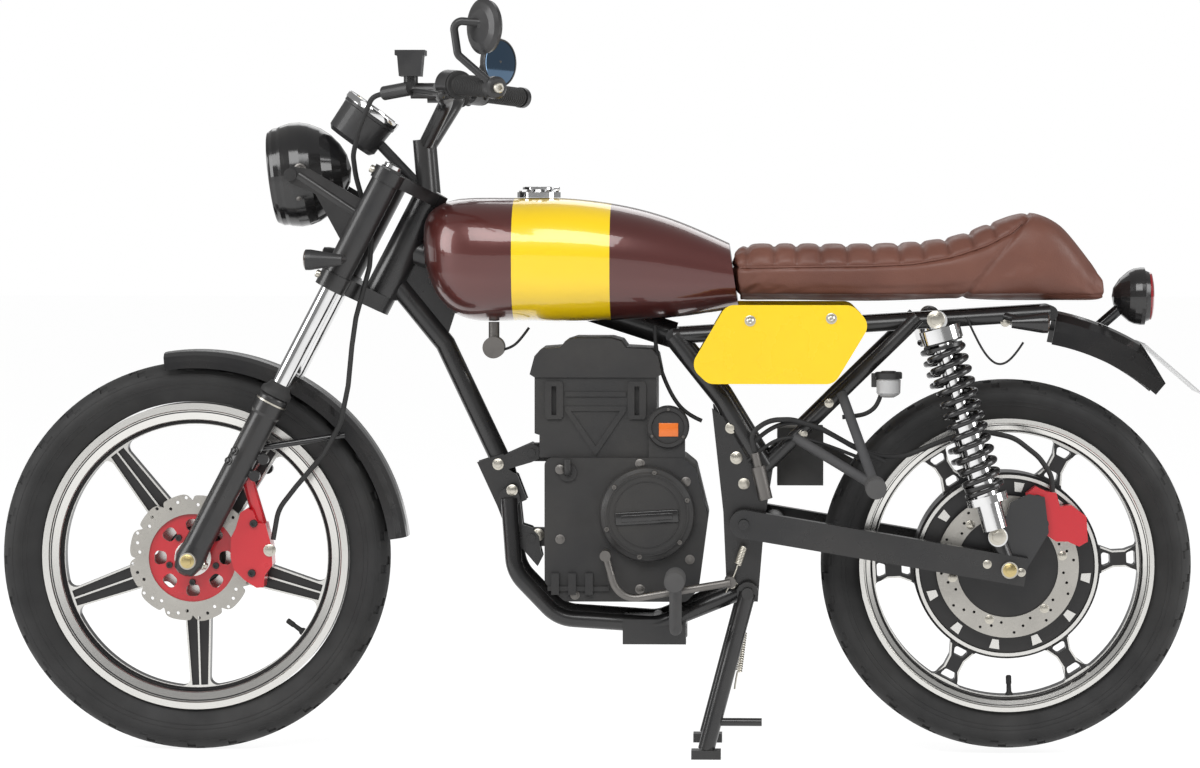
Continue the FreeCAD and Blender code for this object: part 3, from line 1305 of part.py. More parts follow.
def make_drive_unit():
    """The dummy engine that holds the drive's electronics, alike on both sides but for its round cover."""
    middle = "(drive_front_x + drive_rear_x) / 2"
    reach = "(drive_front_x - drive_rear_x) / 2"
    wide = "drive_half_width"
    low = "(drive_top_z - drive_cap_height)"
    pieces = [slab("drive_box", [(f"{middle} + {reach} * {across}",
                                  f"case_top_z + ({low} - case_top_z) * {up}")
                                 for across, up in BOX_SHARES], f"{wide} * 2")]
    cap = [(f"{middle} + {reach} * {across}", f"{low} + drive_cap_height * {up}") for across,
           up in CAP_SHARES]
    pieces.append(slab("drive_cap", cap, f"{wide} * 2.08"))
    corners = [(f"case_rear_x + (case_front_x - case_rear_x) * {along}",
                f"case_base_z + (case_top_z - case_base_z) * {rise}") for along, rise in CASE_SHARES]
    pieces.append(rounded(slab("case_block", corners, "case_half_width * 2"), "case_round"))
    depth = f"({low} - case_top_z)"
    cutters = []
    for side, sign in SIDES.items():
        face = LEFT * (sign * size(wide))
        for end, way in (("front", 1), ("rear", -1)):
            shares = [(way * across, drop) for across, drop in PAD_SHARES]
            pieces.append(slab(f"drive_pad_{end}_{side}", shared_outline(shares, middle, reach, low, depth),
                               "rib_height * 2", face))
            shares = [(way * across, drop) for across, drop in SLOT_SHARES]
            cutters.append(slab(f"drive_slot_{end}_{side}", shared_outline(shares, middle, reach, low, depth),
                                "rib_height * 3", face))
        for number, shares in enumerate(VEE_SHARES):
            pieces.append(slab(f"drive_vee_{number}_{side}", shared_outline(shares, middle, reach, low,
                                                                            depth),
                               "rib_height", face))
        face = LEFT * (sign * size("case_half_width"))
        for number, (along, foot, top) in enumerate(FIN_SHARES):
            base = f"case_rear_x + (case_front_x - case_rear_x) * {along}"
            fin = [(f"{base} - rib_width / 2", f"case_base_z + (case_top_z - case_base_z) * {foot}"),
                   (f"{base} + rib_width / 2", f"case_base_z + (case_top_z - case_base_z) * {foot}"),
                   (f"{base} + rib_width / 2", f"case_base_z + (case_top_z - case_base_z) * {top}"),
                   (f"{base} - rib_width / 2", f"case_base_z + (case_top_z - case_base_z) * {top}")]
            pieces.append(slab(f"case_fin_{number}_{side}", fin, "rib_height * 4", face))
        bar = [("case_front_x - (case_front_x - case_rear_x) * 0.02", "case_base_z + rib_width * 1.4"),
               ("case_front_x - (case_front_x - case_rear_x) * 0.42", "case_base_z + rib_width * 1.4"),
               ("case_front_x - (case_front_x - case_rear_x) * 0.42", "case_base_z + rib_width * 2"),
               ("case_front_x - (case_front_x - case_rear_x) * 0.02", "case_base_z + rib_width * 2")]
        pieces.append(slab(f"case_bar_{side}", bar, "rib_height * 2", face))
        knob = Vector(size("case_front_x - knob_radius * 2.6"), sign * size("case_half_width"),
                      size("case_top_z - knob_radius * 1.6"))
        ring = turned(f"knob_ring_{side}", [("-rib_height", "0"), ("rib_height", "0"),
                                            ("rib_height", "knob_radius"),
                                            ("-rib_height", "knob_radius")], knob, LEFT)
        out = LEFT * (sign * size("rib_height * 3"))
        elbow = tube(f"knob_elbow_{side}", [knob, knob + out, knob + out + UP * size("knob_radius * 1.5")],
                     size("knob_radius * 0.42"), size("knob_radius"))
        pieces += [ring, elbow]
    for number, rise in enumerate(LUG_RISE_SHARES):
        middle_x, middle_z = lug_place(rise)
        lug = Vector(size(middle_x), 0, size(middle_z))
        shift = LEFT * size("tube_radius")
        pieces.append(rod(f"drive_lug_{number}", lug - shift, lug + shift, "lug_radius"))
        pieces.append(block(f"drive_lug_web_{number}",
                            (f"{middle_x} - lug_radius * 2.4", "-tube_radius", f"{middle_z} - lug_radius"),
                            (middle_x, "tube_radius", f"{middle_z} + lug_radius")))
        cutters.append(rod(f"drive_lug_hole_{number}", lug - shift * 2, lug + shift * 2,
                           "pivot_bolt_radius * 0.8 + seat_gap"))
    at = Vector(size("port_x"), size("drive_half_width"), size("port_z"))
    port = turned("port_boss", [("-port_depth", "0"), ("port_depth * 0.8", "0"),
                                ("port_depth * 0.8", "port_radius * 0.74"), ("port_depth",
                                                                             "port_radius * 0.78"),
                                ("port_depth", "port_radius * 0.94"), ("port_depth * 0.8", "port_radius"),
                                ("-port_depth", "port_radius")], at, LEFT)
    neck = block("port_neck", ("port_x - port_radius * 0.8", "drive_half_width - port_depth",
                               "case_top_z - port_depth"),
                 ("port_x + port_radius * 0.9", "drive_half_width + port_depth * 0.6", "port_z"))
    at = Vector(size("cover_x"), size("case_half_width"), size("cover_z"))
    cover = turned("round_cover", [("-rib_height", "0"), ("cover_depth", "0"),
                                   ("cover_depth", "cover_radius * 0.86"),
                                   ("cover_depth * 0.86", "cover_radius * 0.90"),
                                   ("cover_depth * 0.7", "cover_radius * 0.97"), ("cover_depth * 0.5",
                                                                                  "cover_radius"),
                                   ("-rib_height", "cover_radius")], at, LEFT)
    solid = joined("drive_solid", pieces + [port, neck, cover])
    node(less("drive_housing", solid, cutters), "drive_housing")


def lug_place(rise):
    """The middle of a lug at the front of the drive housing, as sums for X and Z."""
    return "(drive_front_x + lug_reach)", f"(case_base_z + (drive_top_z - case_base_z) * {rise})"


# Tank, seat and panels

TANK_SQUARENESS = 2.6
SEAT_SQUARENESS = 3.2
TANK_SHARES = [(1.0, 0.55, 0.75, 0.18), (0.985, 0.36, 0.88, 0.48), (0.93, 0.12, 0.97, 0.76),
               (0.80, 0.0, 1.0, 0.95), (0.60, 0.0, 1.0, 1.0), (0.40, 0.01, 0.95, 0.97),
               (0.22, 0.03, 0.83, 0.86), (0.08, 0.08, 0.68, 0.74), (-0.03, 0.12, 0.56, 0.64)]
SEAT_SHARES = [(-0.03, 0.0, 0.60, 0.70), (0.02, 0.0, 0.62, 0.80), (0.2, 0.0, 0.63, 0.92),
               (0.45, 0.0, 0.64, 1.0), (0.60, 0.02, 0.72, 1.0), (0.74, 0.0, 0.95, 0.94),
               (0.82, 0.0, 0.99, 0.88), (0.92, 0.0, 0.66, 0.74), (1.0, 0.02, 0.30, 0.52)]


def seam_side(name, sign):
    """Everything on one side of the sloping seam between the tank and the seat."""
    far = f"{sign} * (seat_front_x - seat_rear_x)"
    gap = f"{-sign} * seat_gap / 2"
    corners = [(f"seam_low_x + {gap}", "seat_base_z - seat_half_width"),
               (f"seam_high_x + {gap}", "seat_top_z + seat_half_width"),
               (f"seam_high_x + {far}", "seat_top_z + seat_half_width"),
               (f"seam_low_x + {far}", "seat_base_z - seat_half_width")]
    return slab(name, corners, "seat_half_width * 4")


def make_tank():
    length = size("tank_front_x - tank_rear_x")
    height = size("tank_top_z - tank_base_z")
    rings = [ring_section(size("tank_rear_x") + length * along, size("tank_base_z") + height * low,
                          size("tank_base_z") + height * high, size("tank_half_width") * width, TANK_SQUARENESS)
             for along, low, high, width in TANK_SHARES]
    shell = lofted("tank_shell", rings)
    low = "tank_base_z - tank_half_width"
    tunnel = slab("tank_tunnel", [("spine_rear_x", low), ("head_x", low), ("head_x", "head_z"),
                                  ("spine_rear_x", "spine_rear_z")], "2 * (spine_radius + tunnel_gap)")
    spine = rod("tank_seat", HEAD, spot("spine_rear"), "spine_radius + seat_gap")
    nose = rod("tank_nose", on_head(-length), on_head(length), "head_tube_radius + nose_gap")
    node(less("fuel_tank", shell, [tunnel, spine, nose, seam_side("tank_seam", -1)]), "fuel_tank")
    at = Vector(size("cap_x"), 0, size("tank_top_z + seat_gap"))
    node(turned("tank_cap", [("0", "0"), ("cap_height", "0"), ("cap_height", "cap_radius * 0.5"),
                             ("cap_height * 0.55", "cap_radius * 0.6"),
                             ("cap_height * 0.5", "cap_radius"), ("0", "cap_radius")], at, UP), "tank_cap")


def make_seat():
    length = size("seat_front_x - seat_rear_x")
    height = size("seat_hump_z - seat_base_z")
    rings = [ring_section(size("seat_front_x") - length * along, size("seat_base_z") + height * low,
                          size("seat_base_z") + height * high, size("seat_half_width") * width, SEAT_SQUARENESS)
             for along, low, high, width in SEAT_SHARES]
    node(less("seat_cut", lofted("seat_cushion", rings), [seam_side("seat_seam", 1)]), "seat")


PANEL_PIN_SHARES = (0.2, 0.42)
PANEL_SHARES = [(0.80, 1.0), (0.10, 1.0), (0.0, 0.76), (0.20, 0.0), (0.90, 0.0), (1.0, 0.22)]


def make_side_panels():
    panels = []
    for side, sign in SIDES.items():
        corners = [(f"panel_rear_x + (panel_front_x - panel_rear_x) * {along}",
                    f"panel_base_z + (panel_top_z - panel_base_z) * {rise}") for along, rise in PANEL_SHARES]
        at = LEFT * (sign * size("panel_y"))
        panel = rounded(slab(f"panel_{side}", corners, "panel_thickness", at), "panel_round")
        pins = []
        for number, share in enumerate(PANEL_PIN_SHARES):
            root = spot("pillar_top", sign) + (spot("rail_rear", sign) - spot("pillar_top", sign)) * share
            start = root + LEFT * (sign * size("rail_radius + seat_gap"))
            pins.append(rod(f"panel_pin_{side}_{number}", start,
                            Vector(root.x, sign * size("panel_y"), root.z),
                            "panel_stay_radius"))
        panels.append(joined(f"panel_held_{side}", [panel] + pins))
    node(together("side_panels", panels), "side_panels")


def make_ignition_lock():
    at = Vector(size("lock_x"), size("lock_radius * 2"), size("lock_z"))
    half = "lock_length / 2"
    barrel = turned("lock_barrel", [(f"-{half}", "0"), (half, "0"), (half, "lock_radius"),
                                    (f"-{half}", "lock_radius")], at, LEFT)
    top = Vector(size("lock_x"), size("lock_radius * 2"), size("tank_base_z - seat_gap"))
    hanger = rod("lock_hanger", at, top, "lock_radius * 0.5")
    node(joined("ignition_lock", [barrel, hanger]), "ignition_lock")


# Rear end


def make_rear_fender():
    body = new_body("rear_fender_shell", REAR_AXLE, Rotation(LEFT, HALF_TURN - size("rear_fender_rear_angle"))
                    * Rotation(FORWARD, LEFT))
    feature = spin(body, fender_points("rear_fender_half_width", "rear_arch", "rear_fender_depth",
                                       "rear_fender_wall"))
    feature.setExpression("Angle", bound("rear_fender_rear_angle - rear_fender_front_angle"))
    depth = size("rear_fender_depth")
    arch = size("rear_arch")
    end = size("rear_fender_rear_angle")
    high = beside(size("plate_angle"), [(arch, 0), (arch + depth, 0)])
    low = beside(end, [(arch - depth * 0.55, 0)]) + beside(end * 1.1, [(arch + depth, 0)])
    cutter = formed("fender_end", prism(high + low[::-1], REAR_AXLE, depth * 2))
    roof = block("fender_roof", ("seat_rear_x - rear_arch", "-rear_arch", "seat_base_z - seat_gap"),
                 ("seat_front_x", "rear_arch", "seat_hump_z + seat_half_width"))
    node(less("rear_fender", body, [cutter, roof]), "rear_fender")


def make_rear_lights():
    at = Vector(size("tail_x"), 0, size("tail_z"))
    bowl = turned("tail_bowl", [(f"tail_depth * {along}", f"tail_radius * {out}")
                                for along, out in TAIL_SHARES], at, FORWARD)
    angle = size("rear_fender_rear_angle * 0.35 + rear_fender_front_angle * 0.65")
    root = REAR_AXLE + beside(angle, [(size("rear_arch * 0.99"), 0)])[0]
    stem = rod("tail_stem", root, at, "tail_radius * 0.2")
    arch = rod("tail_seat", REAR_AXLE - LEFT * size("tail_radius"), REAR_AXLE + LEFT * size("tail_radius"),
               "rear_arch + seat_gap")
    lights = [less("tail_light", joined("tail_solid", [bowl, stem]), [arch])]
    for side, sign in SIDES.items():
        start = spot("pillar_top", sign)
        end = spot("rail_rear", sign)
        rail = start + (end - start) * REAR_INDICATOR_SHARE
        head = rail + Vector(-size("indicator_length * 0.65"),
                             sign * size("rail_radius + indicator_radius * 1.4"),
                             -size("indicator_radius * 0.6"))
        lamp = indicator(f"rear_indicator_{side}", rail + LEFT * (sign * size("rail_radius * 0.8")), head,
                         Vector(-1, 0, 0))
        seat = rod(f"rear_indicator_seat_{side}", start, end, "rail_radius + seat_gap")
        lights.append(less(f"rear_indicator_fitted_{side}", lamp, [seat]))
    node(together("rear_lights", lights), "rear_lights")


TAIL_SHARES = [(-0.44, 0.0), (0.56, 0.0), (0.52, 0.30), (0.36, 0.62), (0.14, 0.88), (0.0, 0.97), (-0.16, 1.0),
               (-0.26, 1.0), (-0.28, 0.90), (-0.38, 0.84), (-0.42, 0.60)]
REAR_INDICATOR_SHARE = 0.88


def make_number_plate():
    top = REAR_AXLE + beside(size("plate_angle"), [(size("rear_arch + seat_gap"), 0)])[0]
    fall = Rotation(LEFT, -size("plate_slope")).multVec(Vector(-1, 0, 0))
    tip = top + fall * size("plate_height")
    across = LEFT * size("plate_width / 2")
    face = Part.Face(Part.makePolygon([tip - across, top - across, top + across, tip + across, tip - across]))
    normal = (top - tip).cross(LEFT)
    normal.normalize()
    node(formed("plate_sheet", face.extrude(normal * size("plate_thickness"))), "number_plate")


def make_swingarm():
    pivot = spot("swing_pivot")
    run = REAR_AXLE - pivot
    half = "arm_height / 2"
    wide = "arm_width / 2"
    length = "sqrt((rear_axle_x - swing_pivot_x)^2 + (rear_tyre_radius + rear_tyre_lift - swing_pivot_z)^2)"
    pieces = []
    for side, sign in SIDES.items():
        body = new_body(f"arm_{side}", pivot + LEFT * (sign * size("arm_y")), Rotation(FORWARD, run))
        pad = body.newObject("PartDesign::Pad", "Pad")
        pad.Profile = outline(body, "YZ_Plane", [(f"-{wide}", f"-{half}"), (wide, f"-{half}"), (wide, half),
                                                 (f"-{wide}", half)])
        pad.Length = size(f"{length} + arm_height * 0.6")
        root = spot("shock_low")
        shift = LEFT * (sign * size("arm_y"))
        pieces += [body, rod(f"shock_pin_{side}", root + shift,
                             root + LEFT * (sign * size("shock_y + eye_length / 2")), "pivot_bolt_radius"),
                   rod(f"shock_ear_{side}", REAR_AXLE + shift, root + shift, "arm_width / 2"),
                   rod(f"arm_round_{side}", pivot + LEFT * (sign * size(f"arm_y - {wide}")),
                       pivot + LEFT * (sign * size(f"arm_y + {wide}")), half)]
    beam = run * (size("arm_height * 1.1") / run.Length)
    reach = LEFT * size("arm_y")
    pieces.append(rod("arm_bridge", pivot + beam + reach, pivot + beam - reach, "arm_height * 0.4"))
    pieces.append(rod("arm_sleeve", pivot + reach, pivot - reach, "pivot_bolt_radius * 2"))
    axle = REAR_AXLE + LEFT * size("arm_y + arm_width")
    bolt = rod("arm_axle_hole", axle, REAR_AXLE * 2 - axle, "rear_axle_radius + bore_gap")
    pin = pivot + LEFT * size("arm_y + arm_width")
    hole = rod("arm_pivot_hole", pin, pivot * 2 - pin, "pivot_bolt_radius + seat_gap")
    clear = "arm_height * 1.4"
    plates = [slab(f"arm_clear_{side}", [(f"swing_pivot_x + {clear}", f"swing_pivot_z - {clear}"),
                                         (f"swing_pivot_x + {clear}", f"swing_pivot_z + {clear}"),
                                         (f"swing_pivot_x - {clear}", f"swing_pivot_z + {clear}"),
                                         (f"swing_pivot_x - {clear}", f"swing_pivot_z - {clear}")],
                   "pivot_plate_thickness + seat_gap * 2", LEFT * (sign * size("pivot_plate_y")))
              for side, sign in SIDES.items()]
    node(less("swingarm", joined("swingarm_solid", pieces), [bolt, hole] + plates), "swingarm")
    make_axle("rear", REAR_AXLE, "arm_y + arm_width / 2 + seat_gap")


def make_shocks():
    dampers = []
    springs = []
    for side, sign in SIDES.items():
        shift = LEFT * (sign * size("shock_y"))
        top = spot("shock_top") + shift
        low = spot("shock_low") + shift
        run = top - low
        run.normalize()
        length = (top - low).Length
        body = rod(f"damper_body_{side}", low + run * size("eye_radius * 0.8"), low + run * (length * 0.55),
                   "damper_radius * 1.5")
        shaft = rod(f"damper_rod_{side}", low + run * (length * 0.5), top, "damper_radius * 0.8")
        cap = rod(f"damper_cap_{side}", top - run * size("eye_radius * 2.2"),
                  top - run * size("eye_radius * 0.8"),
                  "spring_radius")
        foot = rod(f"damper_foot_{side}", low + run * size("eye_radius * 3.6"),
                   low + run * size("eye_radius * 4.4"), "spring_radius")
        eyes = [rod(f"eye_{name}_{side}", end - LEFT * size("eye_length / 2"),
                    end + LEFT * size("eye_length / 2"), "eye_radius")
                for name, end in (("top", top), ("low", low))]
        holes = [rod(f"eye_hole_{name}_{side}", end - LEFT * size("eye_length"),
                     end + LEFT * size("eye_length"), "pivot_bolt_radius + seat_gap")
                 for name, end in (("top", top), ("low", low))]
        dampers.append(less(f"damper_{side}", joined(f"damper_solid_{side}", [body, shaft, cap, foot] + eyes),
                            holes))
        start = low + run * size("eye_radius * 4.4 + seat_gap + spring_wire")
        height = (top - run * size("eye_radius * 2.2 + seat_gap + spring_wire") - start).Length
        helix = Part.makeHelix(height / size("spring_turns"), height, size("spring_radius - spring_wire"))
        ring = Part.Circle(Vector(size("spring_radius - spring_wire"), 0, 0), LEFT, size("spring_wire"))
        coil = Part.Wire(helix).makePipeShell([Part.Wire(ring.toShape())], True, True)
        spring = formed(f"spring_{side}", coil)
        spring.Placement = Placement(start, Rotation(UP, run))
        springs.append(spring)
    node(together("shock_dampers", dampers), "shock_dampers")
    node(together("shock_springs", springs), "shock_springs")


REAR_CALIPER_SHARES = [(0.24, 1.03), (0.38, 1.14), (0.53, 1.07), (0.67, 1.05), (0.72, 0.86), (0.88, 0.88),
                       (1.09, 0.72), (1.11, 0.37), (0.99, 0.30), (0.83, 0.37), (0.67, 0.37), (0.45, 0.51),
                       (0.34, 0.75)]
BRACKET_SHARES = [(0.17, -0.14), (-0.16, -0.14), (-0.19, 0.14), (0.02, 0.92), (0.28, 1.04), (0.50, 1.0),
                  (0.56, 0.50), (0.32, 0.10)]
CALIPER_PIN_SHARES = [(0.40, 0.95), (0.48, 0.62)]


def make_rear_brake():
    outlines = [[(f"rear_axle_x - rear_disc_radius * {back}",
                  f"rear_tyre_radius + rear_tyre_lift + rear_disc_radius * {up}") for back, up in shares]
                for shares in (REAR_CALIPER_SHARES, BRACKET_SHARES)]
    body = slab("rear_caliper_block", outlines[0], "rear_caliper_width", LEFT * size("rear_disc_y"))
    plate_y = size("arm_y - arm_width / 2 - seat_gap - pivot_plate_thickness / 2")
    plate = slab("rear_caliper_bracket", outlines[1], "pivot_plate_thickness", LEFT * plate_y)
    near = "rear_disc_y - disc_slot / 2"
    far = "rear_disc_y + disc_slot / 2"
    slot = turned("rear_slot", [(near, "0"), (far, "0"), (far, "rear_disc_radius + disc_slot / 2"),
                                (near, "rear_disc_radius + disc_slot / 2")], REAR_AXLE, LEFT)
    wheel = turned("rear_clear", [("0", "0"), (near, "0"), (near, "rear_disc_radius + disc_slot / 2"),
                                  ("motor_width / 2 + disc_slot / 2", "rear_disc_radius + disc_slot / 2"),
                                  ("motor_width / 2 + disc_slot / 2", "motor_radius + disc_slot"),
                                  ("0", "motor_radius + disc_slot")], REAR_AXLE, LEFT)
    pins = []
    for number, (back, up) in enumerate(CALIPER_PIN_SHARES):
        root = REAR_AXLE + Vector(-back, 0, up) * size("rear_disc_radius")
        pins.append(rod(f"rear_caliper_pin_{number}", root + LEFT * plate_y,
                        root + LEFT * size("rear_disc_y + rear_caliper_width * 0.4"), "eye_radius * 0.6"))
    hole = rod("caliper_axle_hole", REAR_AXLE, REAR_AXLE + LEFT * size("arm_y * 2"),
               "rear_axle_radius + bore_gap")
    node(less("rear_caliper", joined("rear_caliper_solid", [body, plate] + pins), [slot, wheel, hole]),
         "rear_caliper")
    end = REAR_AXLE + Vector(-size("rear_disc_radius * 0.62"), size("rear_disc_y + rear_caliper_width * 0.3"),
                             size("rear_disc_radius * 1.057 + seat_gap * 3"))
    along = spot("master_top") - spot("master_low")
    along.normalize()
    start = spot("master_top") + along * size("hose_radius * 0.3 + seat_gap")
    node(route("rear_brake_hose", start, REAR_HOSE, end), "rear_brake_hose")


# Foot controls

PEG_STRUT_SHARES = (0.5, 0.8)


def make_pegs():
    pieces = []
    for side, sign in SIDES.items():
        root = Vector(size("peg_x"), sign * size("cradle_rear_y + cradle_radius + seat_gap"),
                      size("cradle_rear_z"))
        knee = Vector(size("peg_x"), sign * size("peg_inner_y"), size("cradle_rear_z"))
        rise = Vector(size("peg_x"), sign * size("peg_inner_y"), size("peg_z"))
        tip = rise + LEFT * (sign * size("peg_length"))
        arm = tube(f"peg_arm_{side}", [root, knee, rise], size("pedal_bar_radius * 1.6"), size("peg_radius"))
        rubber = rod(f"peg_rubber_{side}", rise, tip, "peg_radius")
        seat = rod(f"peg_seat_{side}", spot("cradle_rear", sign), spot("cradle_end", sign),
                   "cradle_radius + seat_gap")
        pieces.append(less(f"peg_{side}", joined(f"peg_solid_{side}", [arm, rubber]), [seat]))
        hub = Vector(size("rear_peg_x"), sign * size("peg_inner_y"), size("rear_peg_z"))
        high = spot("stay_top", sign)
        low = spot("stay_low", sign)
        solids = [rod(f"rear_peg_{side}", hub, hub + LEFT * (sign * size("peg_length * 0.8")), "peg_radius")]
        for number, share in enumerate(PEG_STRUT_SHARES):
            start = high + (low - high) * share + LEFT * (sign * size("stay_radius"))
            solids.append(rod(f"strut_{side}_{number}", start, hub, "pedal_bar_radius * 1.3"))
        stay = rod(f"stay_seat_{side}", high, low, "stay_radius + seat_gap")
        pieces.append(less(f"rear_peg_held_{side}", joined(f"rear_peg_solid_{side}", solids), [stay]))
    node(together("foot_pegs", pieces), "foot_pegs")


def make_pedal():
    pad = Vector(size("pedal_x"), size("pedal_y"), size("pedal_z"))
    low = Vector(size("cradle_low_x - cradle_low_y * 1.6"), size("pedal_y"), size("peg_z - peg_radius * 2.6"))
    pivot = Vector(size("stand_pivot_x + stand_pivot_radius * 3"), size("pedal_y"),
                   size("stand_pivot_z + stand_pivot_radius * 2"))
    bar = tube("pedal_bar", [pad, low, pivot], size("pedal_bar_radius"), size("frame_bend"))
    shaft_end = Vector(pivot.x, size("pivot_plate_y + pivot_plate_thickness / 2 + seat_gap"), pivot.z)
    shaft = rod("pedal_shaft", pivot, shaft_end, "pedal_bar_radius * 1.5")
    tip = rod("pedal_pad", pad - LEFT * size("pedal_width / 2"), pad + LEFT * size("pedal_width / 2"),
              "pedal_bar_radius * 1.4")
    pedal = joined("pedal_solid", [bar, shaft, tip])
    foot = spot("master_low")
    top = spot("master_top")
    rise = top - foot
    root = Vector(foot.x, size("stay_low_y"), foot.z) + rise * 0.3
    solids = [rod("master_barrel", foot, foot + rise * 0.7, "master_radius"),
              rod("master_neck", foot, top, "master_radius * 0.6"),
              rod("master_bracket", root, foot + rise * 0.3, "master_radius * 0.7")]
    plate = slab("master_seat", [("swing_pivot_x - arm_height * 2", "swing_pivot_z - arm_height"),
                                 ("swing_pivot_x + arm_height * 2", "swing_pivot_z - arm_height"),
                                 ("swing_pivot_x + arm_height * 2", "swing_pivot_z + arm_height * 3"),
                                 ("swing_pivot_x - arm_height * 2", "swing_pivot_z + arm_height * 3")],
                 "(pivot_plate_y + pivot_plate_thickness / 2 + seat_gap) * 2")
    tubes = side_tubes("master_clear", ["pillar_top", "pillar_mid", "stay_low"], "tube_radius + seat_gap",
                       "frame_bend")
    master = less("rear_master", joined("master_solid", solids), [plate] + tubes[:1])
    node(together("brake_pedal", [pedal, master]), "brake_pedal")


BOX_PLACE_SHARES = [(-5.75, -1.9), (-1.25, 3.75)]


def make_control_box():
    (back, under), (front, over) = BOX_PLACE_SHARES
    low = (f"stay_low_x + tube_radius * {back}", "-pivot_plate_y * 0.6",
           f"stay_low_z + tube_radius * {under}")
    high = (f"stay_low_x + tube_radius * {front}", "pivot_plate_y * 0.6",
            f"stay_low_z + tube_radius * {over}")
    bracket = LEFT * size("stay_low_y - tube_radius - seat_gap")
    middle = Vector(size("stay_low_x"), 0, size("stay_low_z"))
    bar = rod("box_bracket", middle + bracket, middle - bracket, "pedal_bar_radius")
    tab = block("box_tab", ("stay_low_x - tube_radius * 2.5", "-pedal_bar_radius * 2",
                            "stay_low_z - pedal_bar_radius / 2"),
                ("stay_low_x", "pedal_bar_radius * 2", "stay_low_z + pedal_bar_radius / 2"))
    node(joined("box_solid", [block("box_case", low, high), bar, tab]), "control_box")


# Centre stand


def make_stand():
    pivot = spot("stand_pivot")
    foot_z = size("stand_foot_height / 2")
    legs = []
    for side, sign in SIDES.items():
        shift = LEFT * (sign * size("stand_half_width"))
        foot = Vector(size("stand_foot_x"), 0, foot_z) + shift
        legs.append(rod(f"stand_leg_{side}", pivot + shift, foot + UP * foot_z, "stand_tube_radius"))
        legs.append(block(f"stand_foot_{side}", ("stand_foot_x - stand_foot_length / 2",
                                                 f"{sign} * stand_half_width - stand_tube_radius * 1.2", "0"),
                          ("stand_foot_x + stand_foot_length / 2",
                           f"{sign} * stand_half_width + stand_tube_radius * 1.2", "stand_foot_height")))
        legs.append(rod(f"stand_eye_{side}",
                        pivot + LEFT * (sign * size("pivot_plate_y + stand_tube_radius")),
                        pivot + shift, "stand_tube_radius * 1.3"))
    share = 0.3
    side = Vector(size("stand_foot_x"), 0, foot_z) - pivot
    cross = rod("stand_cross", pivot + side * share + LEFT * size("stand_half_width"),
                pivot + side * share - LEFT * size("stand_half_width"), "stand_tube_radius * 0.8")
    root = pivot + side * 0.8 + LEFT * size("stand_half_width")
    tang = rod("stand_tang", root, root - FORWARD * size("stand_foot_length * 1.6"),
               "stand_pivot_radius * 0.7")
    hole_end = pivot + LEFT * size("stand_half_width * 2")
    hole = rod("stand_hole", hole_end, pivot * 2 - hole_end, "stand_pivot_radius + bore_gap")
    node(less("centre_stand", joined("stand_solid", legs + [cross, tang]), [hole]), "centre_stand")


front_pieces = [make_front_wheel, make_fork, make_headlight, make_gauge, make_bars, make_front_fender,
                make_front_brake, make_front_indicators, make_front_hose]
frame_pieces = [make_head_tube, make_cradle, make_subframe, make_drive_unit, make_tank, make_seat,
                make_side_panels, make_ignition_lock, make_rear_fender, make_rear_lights,
                make_number_plate, make_control_box]
rear_pieces = [make_rear_wheel, make_swingarm, make_shocks, make_rear_brake, make_pegs, make_pedal,
               make_stand]


def write_parts():
    """Checks every object, then writes one file for each node."""
    doc.recompute()
    for thing in doc.Objects:
        if "Invalid" in thing.State or "Error" in thing.State:
            raise RuntimeError(f"{thing.Name} could not be made: {thing.State}")
    for thing in nodes:
        if thing.Shape.isNull() or not thing.Shape.isValid() or not thing.Shape.Solids:
            raise RuntimeError(f"{thing.Label} is not a sound solid")
    os.makedirs("parts", exist_ok=True)
    for thing in nodes:
        thing.Shape.exportStep(os.path.join("parts", f"{thing.Label}.step"))


for make in front_pieces + frame_pieces + rear_pieces:
    make()
write_parts()
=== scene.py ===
import json
import math

import bmesh
import bpy
from mathutils import Matrix, Vector
from mathutils.bvhtree import BVHTree


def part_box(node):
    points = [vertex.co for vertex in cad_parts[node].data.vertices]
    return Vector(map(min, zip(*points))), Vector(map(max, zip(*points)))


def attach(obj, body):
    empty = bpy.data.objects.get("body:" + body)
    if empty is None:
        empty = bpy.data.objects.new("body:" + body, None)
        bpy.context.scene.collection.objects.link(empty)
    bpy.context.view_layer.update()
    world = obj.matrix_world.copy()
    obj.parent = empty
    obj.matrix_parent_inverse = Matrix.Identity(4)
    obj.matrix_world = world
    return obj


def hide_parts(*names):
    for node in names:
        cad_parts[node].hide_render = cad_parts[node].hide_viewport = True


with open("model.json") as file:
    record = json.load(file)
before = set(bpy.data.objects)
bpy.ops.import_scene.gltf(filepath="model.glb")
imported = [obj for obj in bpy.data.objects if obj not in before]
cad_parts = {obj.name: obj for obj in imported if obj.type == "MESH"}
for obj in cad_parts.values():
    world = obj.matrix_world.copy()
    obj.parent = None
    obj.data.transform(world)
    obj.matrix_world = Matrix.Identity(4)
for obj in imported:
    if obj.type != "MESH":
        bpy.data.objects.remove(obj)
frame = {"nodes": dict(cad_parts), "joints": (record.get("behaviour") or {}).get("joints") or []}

bl_info = {
    "name": "Cafe Racer Finish",
    "version": (1, 0, 0),
    "blender": (4, 5, 0),
    "location": "View3D > Sidebar > Cafe Racer",
    "description": "Dresses the cafe racer frame in its finishes and small pieces",
    "category": "Object",
}

FACE_UP = Vector((0, 0, 1))
LEFT = Vector((0, 1, 0))
AHEAD = Vector((1, 0, 0))
SIDES = (1, -1)

# How the photograph was taken: metres for each pixel at the middle plane, a pixel straight ahead
# of the camera, and the camera's place

PHOTO_SCALE = 0.001575
PHOTO_CENTRE = (760, 190)
EYE = Vector((-0.255, 7.0, 0.884))


